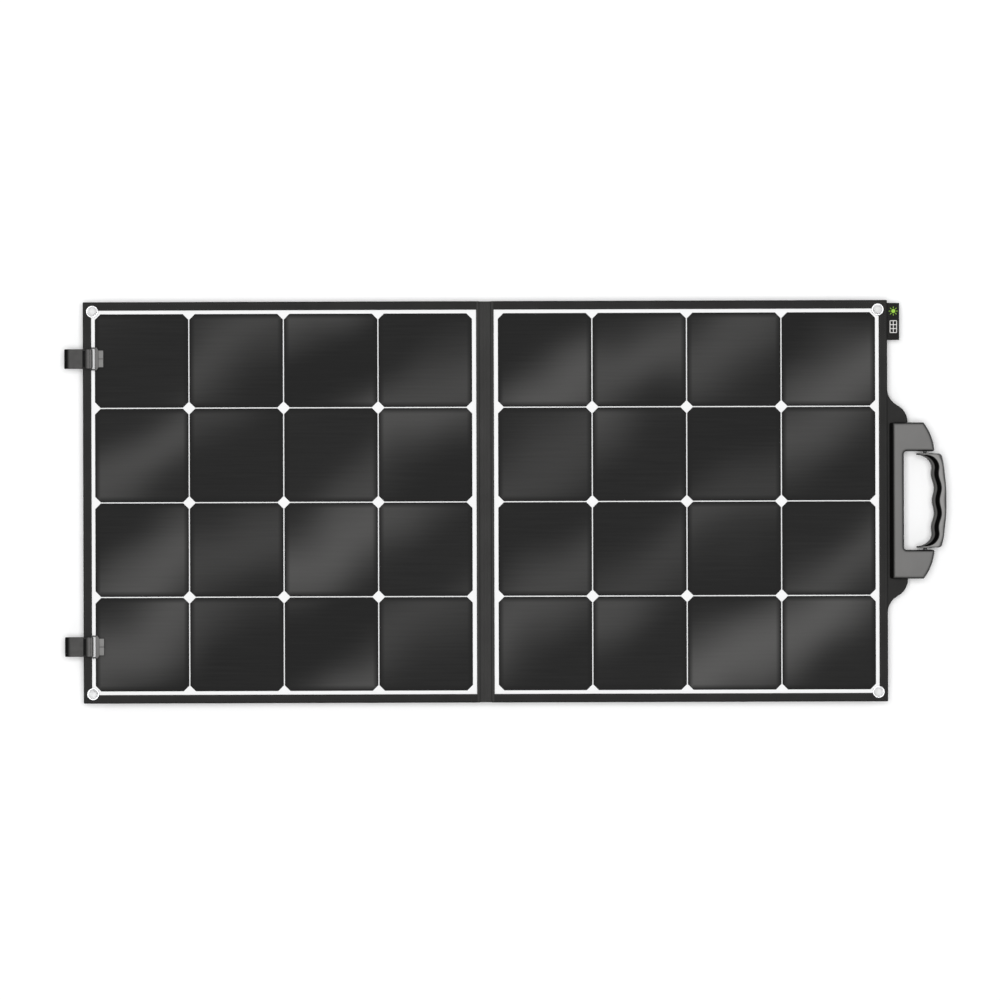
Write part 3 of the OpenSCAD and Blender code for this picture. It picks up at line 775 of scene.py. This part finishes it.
def spine_backing():
    """The spine's rear layer of cloth, between the two folds. The flat wires run in front of it."""
    lo, hi = span("spine_fabric")
    rows = eased(lo.y + 0.4 * MM, hi.y - 0.4 * MM, 0.6 * MM, 60)
    obj = cloth_slab("spine_back_cloth", rows, lambda y: lo.x, lambda y: hi.x, lo.z, lo.z + 0.5 * MM,
                     edge=0.25 * MM, wrinkle=0.05 * MM, columns=12, seed=15.0)
    settle(obj, "spine", "fabric_back", "fabric", smooth=60)


# ---- the handle

FLAP_FLAT = 106 * MM
SEAM_START = 104 * MM
WINDOW = 66.4 * MM
WEB_X = EDGE_X + 21.6 * MM
BRACKET_HALF = 105.2 * MM
ARC_X, ARC_Y, ARC_R = EDGE_X - 9 * MM, 61.4 * MM, 72 * MM
ARM_X = EDGE_X + 44.4 * MM


def flap_edge(y, tip_x, end_y):
    """Outer edge of the flap at y: straight in the middle, and an S-curve of two arcs at each end."""
    y = abs(y)
    if y <= FLAP_FLAT:
        return tip_x
    rise, run = (tip_x - EDGE_X) / 2, (end_y - FLAP_FLAT) / 2
    radius = (rise * rise + run * run) / (2 * rise)
    near, far = y - FLAP_FLAT, end_y - y
    if near <= run:
        return tip_x - radius + sqrt(radius * radius - near * near)
    return EDGE_X + radius - sqrt(radius * radius - max(0.0, far) ** 2)


def handle_flap():
    lo, hi = span("handle_flap")
    step = 0.01 * MM
    corners = [-WINDOW - step, -WINDOW, WINDOW, WINDOW + step]
    rows = sorted(set(corners + eased(lo.y, hi.y, 2.0 * MM, 90)))

    def outer(y):
        edge = flap_edge(y, hi.x, hi.y)
        return min(edge, WEB_X) if abs(y) <= WINDOW else edge

    obj = cloth_slab("flap_fabric", rows, lambda y: EDGE_X - 1.5 * MM, outer, lo.z - 0.2 * MM,
                     hi.z + 0.2 * MM, edge=1.4 * MM, wrinkle=0.1 * MM, seed=7.0)
    settle(obj, "right_wing", "fabric", "fabric", "handle_flap", smooth=50)
    for end in (-1, 1):
        path = [Vector((outer(y) - 3.2 * MM, end * y, hi.z + 0.25 * MM))
                for y in steps(SEAM_START, hi.y - 9 * MM, 59)]
        stitches(f"flap_stitches_{'lower' if end < 0 else 'upper'}", path, "right_wing")


def bracket_outline(x0, inset=0.0, limit=None):
    """The C-shaped bracket, with a window for the fingers and curved outer ends."""
    half, r = BRACKET_HALF - inset, ARC_R - inset
    web, window, fillet = WEB_X - inset, WINDOW + inset, 4 * MM + inset
    if limit:
        curve = [(limit, window), (limit, half)]
    else:
        tip = max(0.4 * MM, 2.2 * MM - inset)
        tip_x = ARC_X + sqrt((r - tip) ** 2 - (window + tip - ARC_Y) ** 2)
        turn = degrees(atan2(window + tip - ARC_Y, tip_x - ARC_X))
        last = degrees(asin((half - ARC_Y) / r))
        curve = arc(tip_x, window + tip, tip, -90, turn, 6) + arc(ARC_X, ARC_Y, r, turn + 0.5, last, 14)
    corner_r = 2.5 * MM
    corner = arc(x0 + inset + corner_r, half - corner_r, corner_r, 90, 180, 5)
    inner = arc(web + fillet, window - fillet, fillet, 180, 90, 6)
    upper = inner + curve + corner
    return upper + [(x, -y) for x, y in reversed(upper)]


def bracket_half(face):
    """One half: steep edges, then a shallow slope to a flat face, and solid arm ends past the pad."""
    lo, hi = span(f"bracket_{face}")
    pad_lo, pad_hi = span(f"handle_pad_{face}")
    way = 1 if face == "front" else -1
    inner = pad_hi.z if face == "front" else pad_lo.z
    outer = hi.z if face == "front" else lo.z
    levels = [(0.4, inner - outer, 0.02), (0.05, inner - outer, 0.35), (0.0, 0, -4.2), (0.9, 0, -2.4),
              (2.1, 0, -0.95), (2.9, 0, -0.5), (3.6, 0, -0.25), (4.4, 0, -0.08), (5.0, 0, 0)]
    rings = [[Vector((x, y, outer + start + way * lift * MM))
              for x, y in bracket_outline(lo.x, inset * MM)] for inset, start, lift in levels]
    parts = [ring_object("plate", rings)]
    for end in (-1, 1):
        outline = [(x, end * y) for x, y in [(ARM_X, WINDOW + 0.8 * MM)]
                   + arc(ARC_X, ARC_Y, ARC_R - 1 * MM, 5, 36, 10) + [(ARM_X, BRACKET_HALF - 1.7 * MM)]]
        z0, z1 = HANDLE_Z + way * 0.15 * MM, inner + way * 2 * MM
        parts.append(prism("arm", outline, min(z0, z1), max(z0, z1), 0.3 * MM, 1))
    obj = join(f"bracket_{face}_shell", parts)
    settle(obj, "right_wing", "handle_plastic", "handle_plastic", f"bracket_{face}",
           smooth=30)
    outline = bracket_outline(pad_lo.x, 0.3 * MM, limit=pad_hi.x - 0.5 * MM)
    piece = prism(f"handle_pad_{face}_rubber", outline, pad_lo.z, pad_hi.z, 0.6 * MM, 3)
    settle(piece, "right_wing", "pad", "pad", f"handle_pad_{face}", smooth=45)


def bracket():
    bracket_half("front")
    bracket_half("back")
    soften("pivot_pins", "pin", 0.3 * MM)
    soften("bracket_screws", "screw", 0.25 * MM)
    dress("handle_plate", "board")


# ---- the grip

GRIP_END = 61.6 * MM
FINGER = 35 * MM
FINGERS_END = 44 * MM


def finger_edge(y, edge_x, tip_x):
    """x of a finger edge at y: waves in the middle and a hollow quarter curve to each tip."""
    y, wave, drop = abs(y), 1.5 * MM, 1.3 * MM
    near = min(y, FINGERS_END)
    x = edge_x - wave * cos(2 * pi * near / FINGER) - drop * (near / FINGER) ** 2
    t = min(1.0, max(0.0, y - FINGERS_END) / (GRIP_END - FINGERS_END))
    return tip_x + (x - tip_x) * sqrt(1 - t * t)


def bow(y):
    """x of the grip's outer edge, which is drawn in at its two ends."""
    radius = 320 * MM
    x = CAD_HI[0] + 0.4 * MM - radius + sqrt(radius * radius - y * y)
    return x - corner_cut(4.2 * MM, GRIP_END + 1.8 * MM - abs(y))


def grip_rows(reach, count=44):
    """y values that crowd together towards both ends."""
    shares = [i / count for i in range(-count, count + 1)]
    return [reach * copysign(sin(abs(t) * pi / 2) ** 0.9, t) for t in shares]


def round_section(x0, x1, low, high, r0, r1):
    """A section in x and z with the upper inner and outer corners rounded by r0 and r1."""
    room = max(0.05 * MM, (x1 - x0) / 2.02)
    r0, r1 = min(r0, room), min(r1, room)
    tall = high - low
    h0, h1 = min(tall * 0.9, r0 * 1.6), min(tall * 0.9, r1 * 1.6)
    inner = [pi / 2 * i / 6 for i in range(7)]
    outer = [pi / 2 * (1 - i / 8) for i in range(9)]
    return ([(x0, low)] + [(x0 + r0 * (1 - cos(a)), high - h0 * (1 - sin(a))) for a in inner]
            + [(x1 - r1 * (1 - cos(a)), high - h1 * (1 - sin(a))) for a in outer] + [(x1, low)])


def grip():
    rim_x, shell_x = EDGE_X + 61.5 * MM, EDGE_X + 70.1 * MM
    rim_tip, shell_tip = EDGE_X + 38.9 * MM, EDGE_X + 50 * MM
    half_t = span("grip_front")[1].z - HANDLE_Z
    inner_r, outer_r = 2.0 * MM, 6.4 * MM
    for name, flip in (("front", 1), ("back", -1)):
        rings = []
        for y in grip_rows(GRIP_END + 1.7 * MM):
            x0 = finger_edge(y, shell_x, shell_tip)
            x1 = bow(y)
            left = max(0.0, min(1.0, (GRIP_END + 1.8 * MM - abs(y)) / (3 * MM)))
            high = half_t - 2 * MM * (1 - sqrt(1 - (1 - left) ** 2))
            section = round_section(x0, x1, 0.12 * MM, high, inner_r, outer_r)
            rings.append([Vector((x, y, HANDLE_Z + flip * z)) for x, z in section])
        parts = [ring_object("shell", rings), lug(-1, flip), lug(1, flip)]
        obj = join(f"grip_shell_{name}", parts)
        settle(obj, "handle_grip", "grip_plastic", "handle_plastic", f"grip_{name}", smooth=40)
    rim, groove = [], []
    for y in grip_rows(GRIP_END):
        x0 = finger_edge(y, rim_x, rim_tip)
        x2 = finger_edge(y, shell_x, shell_tip)
        x1 = x0 + min(4.3 * MM, (x2 - x0) * 0.52)
        for rings, a, b, high, r0, r1 in (
                (rim, x0, x1, 8.2 * MM, 1.5 * MM, 1.2 * MM),
                (groove, x1 - 0.8 * MM, x2 + 0.8 * MM, 5.6 * MM, 0.2 * MM, 0.2 * MM)):
            upper = round_section(a, b, 0.0, high, r0, r1)
            lower = [(x, -z) for x, z in reversed(upper[1:-1])]
            rings.append([Vector((x, y, HANDLE_Z + z)) for x, z in upper + lower])
    obj = ring_object("grip_finger_rim", rim)
    settle(obj, "handle_grip", "grip_rubber", "grip_rubber", "grip_insert", smooth=50)
    # the groove's floor is painted near-black as shadow in the recess between rim and shell
    obj = ring_object("grip_groove_painted_shadow", groove)
    settle(obj, "handle_grip", "groove", "grip_rubber", smooth=50)
    soften("grip_screws", "screw", 0.25 * MM)


def lug(end, flip):
    """Half of the thin disc that turns on a pin at one end of the grip."""
    y0, y1 = GRIP_END, GRIP_END + 2 * MM
    outer, bore, round_ = 11.7 * MM, 2.57 * MM, 0.5 * MM
    profile = [(bore, y0), (bore, y1), (outer - round_, y1), (outer, y1 - round_), (outer, y0 + round_),
               (outer - round_, y0)]
    rings = [[Vector((PIVOT_X + r * cos(a), end * h, HANDLE_Z + flip * (0.05 * MM + r * sin(a))))
              for r, h in profile] for a in steps(0, pi, 24)]
    return ring_object("lug", rings)


# ---- the tag

def side_tag():
    """A folded fabric loop, with a plain sun and panel in thread in place of a name."""
    lo, hi = span("side_tag")
    rows = eased(lo.y, hi.y, 0.5 * MM, 30)
    obj = cloth_slab("side_tag_cloth", rows, lambda y: lo.x - 1.5 * MM, lambda y: hi.x, lo.z, hi.z,
                     edge=0.8 * MM, wrinkle=0.1 * MM, seed=11.0)
    settle(obj, "right_wing", "binding", "fabric", "side_tag", smooth=50)
    cx, cy, z = (lo.x + hi.x) / 2 + 0.3 * MM, hi.y - 11 * MM, hi.z + 0.02 * MM
    z0, bevel = z - 0.3 * MM, 0.12 * MM
    disc = arc(cx, cy, 2.7 * MM, 0, 360, 28)[:-1]
    parts = [prism("disc", disc, z0, z + 0.3 * MM, 0.15 * MM, 2)]
    for k in range(8):
        a = radians(45 * k)
        ahead, side = Vector((cos(a), sin(a))), Vector((-sin(a), cos(a)))
        centre = Vector((cx, cy)) + ahead * 4.9 * MM
        outline = [centre + ahead * s * 1.2 * MM + side * w * 0.5 * MM
                   for s, w in ((-1, -1), (1, -0.7), (1, 0.7), (-1, 1))]
        parts.append(prism("ray", [tuple(p) for p in outline], z0, z + 0.25 * MM, bevel, 1))
    sun = join("side_tag_sun", parts)
    settle(sun, "right_wing", "green_thread", "fabric")
    wide, tall, line = 4.4 * MM, 8 * MM, 0.55 * MM
    middle = lo.y + 18 * MM

    def bar(x0, x1, y0, y1, lift):
        outline = [(x0, y0), (x1, y0), (x1, y1), (x0, y1)]
        return prism("bar", outline, z0, z + lift, bevel, 1)

    parts = [bar(cx - wide, cx + wide, middle + k * tall - line, middle + k * tall + line, 0.28 * MM)
             for k in (-1, -0.33, 0.33, 1)]
    parts += [bar(cx + x - line, cx + x + line, middle - tall, middle + tall, 0.3 * MM)
              for x in (-wide, 0, wide)]
    panel = join("side_tag_panel", parts)
    settle(panel, "right_wing", "white_thread", "fabric")
    path = [Vector((lo.x + 2.6 * MM, lo.y + 2 * MM + k * 2 * MM, hi.z + 0.05 * MM)) for k in range(24)]
    stitches("side_tag_stitches", path, "right_wing", pitch=2.6 * MM, length=1.9 * MM, radius=0.25 * MM)


# ---- closing straps

def closing_strap(which):
    """Webbing sewn to the left wing, folded back over its front, with a loop round the buckle's bar."""
    root_lo, root_hi = span(f"{which}_strap_root")
    y = (root_lo.y + root_hi.y) / 2
    thick = root_hi.z - root_lo.z
    fold = frame_joint(f"{which}_strap_fold")
    bar = frame_joint(f"{which}_buckle_swing")
    r = fold.z - root_lo.z - thick / 2
    inside = root_hi.x + 4 * MM
    low_z, top_z = fold.z - r, fold.z + r
    path = [(inside - k * (inside - fold.x) / 8, low_z) for k in range(8)]
    path += [(fold.x - r * sin(pi * k / 12), fold.z - r * cos(pi * k / 12)) for k in range(13)]
    loop_r = 1.85 * MM
    entry = bar.x - 4.5 * MM
    path += [(fold.x + (entry - fold.x) * k / 20, top_z + 0.05 * MM * sin(pi * k / 20))
             for k in range(1, 21)]
    path += arc(bar.x, bar.z, loop_r, -115, 140, 14)
    path += [(bar.x - 3.4 * MM, bar.z + 1.65 * MM), (bar.x - 5.6 * MM, bar.z + 1.25 * MM),
             (bar.x - 6.8 * MM, bar.z + 0.65 * MM), (bar.x - 7.6 * MM, top_z + thick + 0.05 * MM)]
    path += [(bar.x - x * MM, top_z + thick) for x in (8.6, 9.8, 11.0)]
    obj = band(f"{which}_closing_webbing", [(x, y, z) for x, z in path], (0, 1, 0),
               root_hi.y - root_lo.y + 1.4 * MM, thick - 0.1 * MM)
    settle(obj, None, "webbing", "webbing", f"{which}_strap_root", f"{which}_strap", smooth=60)
    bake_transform(obj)
    shade_strap(obj, fold, bar)
    # the bartack's near-black thread is partly its own colour and partly painted shadow in the valley
    # beside the loop
    for k in range(5):
        x = bar.x - (7.0 + k * 0.85) * MM
        row = [Vector((x, y + (j - 5) * 2.3 * MM, top_z + thick * 1.5 - 0.05 * MM)) for j in range(11)]
        stitches(f"{which}_strap_bartack_{k}", row, f"{which}_closing_strap", pitch=1.5 * MM,
                 length=1.45 * MM, radius=0.5 * MM, thread="black_thread")
    buckle(which, bar, y)


def shade_strap(obj, fold, bar):
    """Painted shade and highlight: the webbing is painted dark at its fold and beside the bartack as
    shade, and pale over the buckle's bar as a highlight.
    """
    plain, dim, pale = 0.44, 0.16, 0.78
    shade = obj.data.attributes.new("shade", "FLOAT", "POINT")
    for vertex, cell in zip(obj.data.vertices, shade.data):
        from_fold = (vertex.co.x - fold.x) / MM
        from_bar = (vertex.co.x - bar.x) / MM
        if vertex.co.z > bar.z + 0.4 * MM:
            cell.value = dim + (pale - dim) * min(1.0, max(0.0, (from_bar + 6.6) / 3.0))
        else:
            cell.value = plain * min(1.0, max(0.0, (from_fold - 1.2) / 3.4))


def buckle(which, bar, y):
    """A ladder buckle: a bar in the webbing's loop, two thin cheeks, a cross plate and a hook tab. Its
    one plastic comes in three tones: the bar and cheeks are painted darker as shade, and the tab
    lighter as a highlight.
    """
    body = f"{which}_strap_buckle"

    def place(points):
        return [(bar.x + px * MM, y + py * MM) for px, py in points]

    def slab(name, x0, x1, y0, y1, z0, z1, bevel, segments):
        outline = place([(x0, y0), (x1, y0), (x1, y1), (x0, y1)])
        return prism(name, outline, bar.z + z0 * MM, bar.z + z1 * MM, bevel * MM, segments)

    rod = [(1.0, -13.9), (1.05, 0), (1.0, 13.9), (0.3, 14.0), (0.3, -14.0)]
    dark = [lathe("rod", [(r * MM, h * MM) for r, h in rod], (bar.x, y, bar.z), axis="y", count=20)]
    for end in (-1, 1):
        rim = place([(-1.9, end * 13.8), (-1.2, end * 15.3), (7.6, end * 15.3), (7.6, end * 14.0),
                     (-0.6, end * 13.8)])
        dark.append(prism("cheek", rim, bar.z - 1.35 * MM, bar.z + 1.2 * MM, 0.35 * MM, 3))
    frame_obj = join(f"{which}_buckle_frame", dark)
    settle(frame_obj, body, "buckle_dark", "buckle", f"{which}_buckle", smooth=40)
    outline = place([(5.9, -15.4), (8.1, -15.4), (10.5, -11.9), (10.5, 11.9), (8.1, 15.4), (5.9, 15.4)])
    plate = [prism("plate", outline, bar.z - 1.3 * MM, bar.z + 1.4 * MM, 0.45 * MM, 3),
             slab("base", 10.2, 17.2, -11.4, 11.4, -1.0, 0.8, 0.35, 3)]
    settle(join(f"{which}_buckle_plate", plate), body, "buckle", "buckle", smooth=40)
    tab = [slab("lip", 15.7, 17.1, -10.6, 10.6, -2.0, -0.6, 0.3, 2)]
    tab += [slab("face", 10.5, 17.1, end * 0.6, end * 11.3, 0.5, 1.2, 0.25, 2) for end in (-1, 1)]
    settle(join(f"{which}_buckle_tab", tab), body, "buckle_light", "buckle", smooth=40)


# ---- pockets and zips

def pocket(side, node, slider):
    lo, hi = span(node)
    way = outward(side)
    rows = eased(lo.y, hi.y, 5 * MM, 36)

    def inset(y):
        return corner_cut(7 * MM, min(y - lo.y, hi.y - y))

    obj = cloth_slab(f"{node}_cloth", rows, lambda y: lo.x + inset(y), lambda y: hi.x - inset(y),
                     lo.z + 0.15 * MM, hi.z, edge=2.2 * MM, wrinkle=0.15 * MM, columns=34,
                     seed=way * 3.0)
    settle(obj, f"{side}_wing", "fabric_back", "fabric", node, smooth=55)
    for k, seam in enumerate((3.2 * MM, 5.2 * MM)):
        loop = rounded_rect(lo.x + seam, hi.x - seam, lo.y + seam, hi.y - seam, 5 * MM, 5, 30)
        path = [Vector((x, y, lo.z + 0.12 * MM)) for x, y in loop + loop[:1]]
        stitches(f"{node}_stitches_{k}", path, f"{side}_wing", up=(0, 0, -1))
    out = 1.6 * MM
    edge = rounded_rect(lo.x - out, hi.x + out, lo.y - out, hi.y + out, 8 * MM, 6, 20)
    rings = []
    for k, (x, y) in enumerate(edge):
        nx, ny = edge[(k + 1) % len(edge)]
        px, py = edge[k - 1]
        ahead = Vector((nx - px, ny - py, 0)).normalized()
        side_v = ahead.cross(Vector((0, 0, 1)))
        rings.append([Vector((x, y, hi.z - 0.9 * MM)) + side_v * (1.1 * MM * cos(t))
                      + Vector((0, 0, 0.85 * MM * sin(t))) for t in steps(0, 2 * pi, 10)[:-1]])
    piping = ring_object(f"{node}_piping", rings, closed_tube=True)
    settle(piping, f"{side}_wing", "binding", "fabric", smooth=60)
    soften(f"{slider}_slider", "zip_metal", 0.3 * MM, 3)
    soften(f"{slider}_puller", "zip_metal", 0.15 * MM, 2)
    soften(f"{slider}_zip", "zip", 0.15 * MM, 1)


# ---- stands

def stand(side):
    lo, hi = span(f"{side}_stand_cover")
    board_hi = span(f"{side}_stand_board")[1]
    tape_lo, tape_hi = span(f"{side}_stand_hinge")
    body = f"{side}_stand"
    wide = (hi.x - lo.x) / 2
    middle = (hi.x + lo.x) / 2
    narrow = wide - 14 * MM
    y0, y1 = lo.y, board_hi.y + 3 * MM
    shoulder = y1 - 30 * MM
    top = board_hi.z + 1.2 * MM

    def reach(y):
        half = wide if y >= shoulder else narrow + (wide - narrow) * (y - y0) / (shoulder - y0)
        return half - corner_cut(9 * MM, min(y - y0, y1 - y))

    rows = eased(y0, y1, 9 * MM, 44)
    obj = cloth_slab(f"{side}_stand_cloth", rows, lambda y: middle - reach(y),
                     lambda y: middle + reach(y), lo.z + 0.1 * MM, top, edge=2.6 * MM,
                     wrinkle=0.15 * MM, columns=34, seed=outward(side) + 20.0)
    settle(obj, body, "fabric_back", "fabric", f"{side}_stand_cover", smooth=55)
    seam, margin, skin = 4.5 * MM, 5 * MM, lo.z + 0.1 * MM
    path = [Vector((middle - reach(y) + seam, y, skin)) for y in steps(y0 + margin, y1 - margin, 60)]
    path += [Vector((2 * middle - p.x, p.y, p.z)) for p in reversed(path)]
    path.append(path[0])
    stitches(f"{side}_stand_stitches", path, body, up=(0, 0, -1))
    # cloth hinge: a band from the board's back to the tape on the wing
    pivot = frame_joint(f"{side}_stand_hinge")
    tape = tape_lo.z
    run = [(middle, y, z) for y, z in (
        (y1 - 26 * MM, top + 0.5 * MM), (y1 - 12 * MM, top + 0.5 * MM), (y1 - 2 * MM, top + 0.55 * MM),
        (y1, top + 0.8 * MM), (pivot.y - 0.5 * MM, top + 1.3 * MM),
        (pivot.y + 1.2 * MM, tape + 0.45 * MM), (pivot.y + 4 * MM, tape + 0.55 * MM),
        (tape_hi.y, tape + 0.6 * MM))]
    hinge = band(f"{side}_stand_hinge_cloth", run, (1, 0, 0), tape_hi.x - tape_lo.x, 0.9 * MM)
    settle(hinge, None, "webbing_up", "webbing", f"{side}_stand_hinge", smooth=60)
    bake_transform(hinge)
    for k, y in enumerate((tape_hi.y - 3 * MM, tape_lo.y + 5 * MM)):
        xs = steps(tape_lo.x + 3 * MM, tape_hi.x - 3 * MM, 60)
        row = [Vector((x, y, tape_lo.z + 0.12 * MM)) for x in xs]
        stitches(f"{side}_hinge_stitches_{k}", row, f"{side}_wing", up=(0, 0, -1))
    stay(side)
    dress(f"{side}_stand_board", "board")


def stay(side):
    """The folding webbing that stops the stand: a sewn anchor and two plies."""
    for part, body in (("stand_anchor", f"{side}_wing"), ("stay_upper", f"{side}_stay_top"),
                       ("stay_lower", f"{side}_stay_bottom")):
        lo, hi = span(f"{side}_{part}")
        x, z = (lo.x + hi.x) / 2, (lo.z + hi.z) / 2
        run = [(x, y, z) for y in steps(lo.y, hi.y, 12)]
        thick = min(1.2 * MM, hi.z - lo.z)
        obj = band(f"{side}_{part}_webbing", run, (1, 0, 0), hi.x - lo.x, thick)
        settle(obj, body, "webbing_up", "webbing", f"{side}_{part}", smooth=60)
    lo, hi = span(f"{side}_stand_anchor")
    for k, y in enumerate((lo.y + 5 * MM, hi.y - 3 * MM)):
        row = [Vector((x, y, lo.z)) for x in steps(lo.x + 2 * MM, hi.x - 2 * MM, 12)]
        stitches(f"{side}_anchor_stitches_{k}", row, f"{side}_wing", pitch=2 * MM, length=1.5 * MM,
                 radius=0.25 * MM, up=(0, 0, -1))


def small_parts():
    soften("strap_catches", "buckle", 0.4 * MM, 3)
    for node, width in (("junction_box", 0.4), ("junction_lid", 0.4), ("output_gland", 0.3)):
        soften(node, "box_plastic", width * MM)
    soften("junction_screws", "screw", 0.12 * MM)
    dress("spine_ribbon", "ribbon")


# ---- stage

def floor():
    size, z = 9.0, -0.4 * MM
    corners = [(-size, -size, z), (size, -size, z), (size, size, z), (-size, size, z)]
    obj = mesh_object("floor", corners, [(0, 1, 2, 3)])
    s = Surface("floor", 0.75, Specular_IOR_Level=0.1)
    s.paint(s.noise(3.0), (0.95, 0.95, 0.95), (0.97, 0.97, 0.97))
    # seen from below the floor is clear, and it casts no shadow, so the panel's back can be looked at
    behind = s.add("NewGeometry").outputs["Backfacing"]
    clear = s.add("BsdfTransparent")
    mix = s.add("MixShader", i0=behind, i1=s.shader.outputs[0], i2=clear.outputs[0])
    s.tree.links.new(mix.outputs[0], s.tree.nodes["Material Output"].inputs["Surface"])
    obj.data.materials.append(s.material)
    obj.visible_shadow = False


def light(name, place, width, height, power):
    """An area light at place that points to the origin."""
    data = bpy.data.lights.new(name, "AREA")
    data.shape = "RECTANGLE"
    data.size, data.size_y, data.energy = width, height, power
    obj = link(name, data)
    obj.location = place
    obj.rotation_mode = "QUATERNION"
    obj.rotation_quaternion = (Vector() - Vector(place)).to_track_quat("-Z", "Y")
    obj.visible_camera = False


def studio():
    world = bpy.data.worlds.new("studio")
    bpy.context.scene.world = world
    world.use_nodes = True
    back = world.node_tree.nodes["Background"]
    back.inputs["Color"].default_value = (0.98, 0.99, 1.0, 1)
    back.inputs["Strength"].default_value = 0.22
    light("overhead", (0, 0.1, 6.0), 4.6, 4.6, 335)
    light("below", (0.4, -0.6, -2.6), 2.6, 2.0, 110)
    light("below_side", (-1.6, 1.2, -1.4), 0.9, 0.9, 60)
    light("key", (-2.4, 2.0, 2.6), 2.4, 2.0, 16)
    light("fill", (2.9, 1.2, 2.4), 2.2, 2.2, 10)
    light("front", (0.3, -3.0, 2.3), 3.2, 1.6, 10)
    bpy.context.scene.view_settings.view_transform = "Standard"


def camera():
    """Straight above the panel, with a long lens, framed as wide as the picture."""
    data = bpy.data.cameras.new("camera")
    obj = link("camera", data)
    distance, seen = 7.0, 1.3473
    data.sensor_width = 36
    data.lens = data.sensor_width * distance / seen
    data.clip_end = 60
    obj.location = (SPINE_X + 19.7 * MM, 2.4 * MM, FRONT_Z + distance)
    obj.rotation_euler = (0, 0, -0.003)
    bpy.context.scene.camera = obj


# ---- build

camera()
floor()
studio()
for wing in SIDES:
    laminate(wing)
    front_cover(wing)
    back_cover(wing)
    eyelets(wing)
    spine_sheet(wing)
    stand(wing)
spine_backing()
handle_flap()
bracket()
grip()
side_tag()
closing_strap("upper")
closing_strap("lower")
pocket("right", "cable_pocket", "cable")
pocket("left", "accessory_pocket", "accessory")
small_parts()
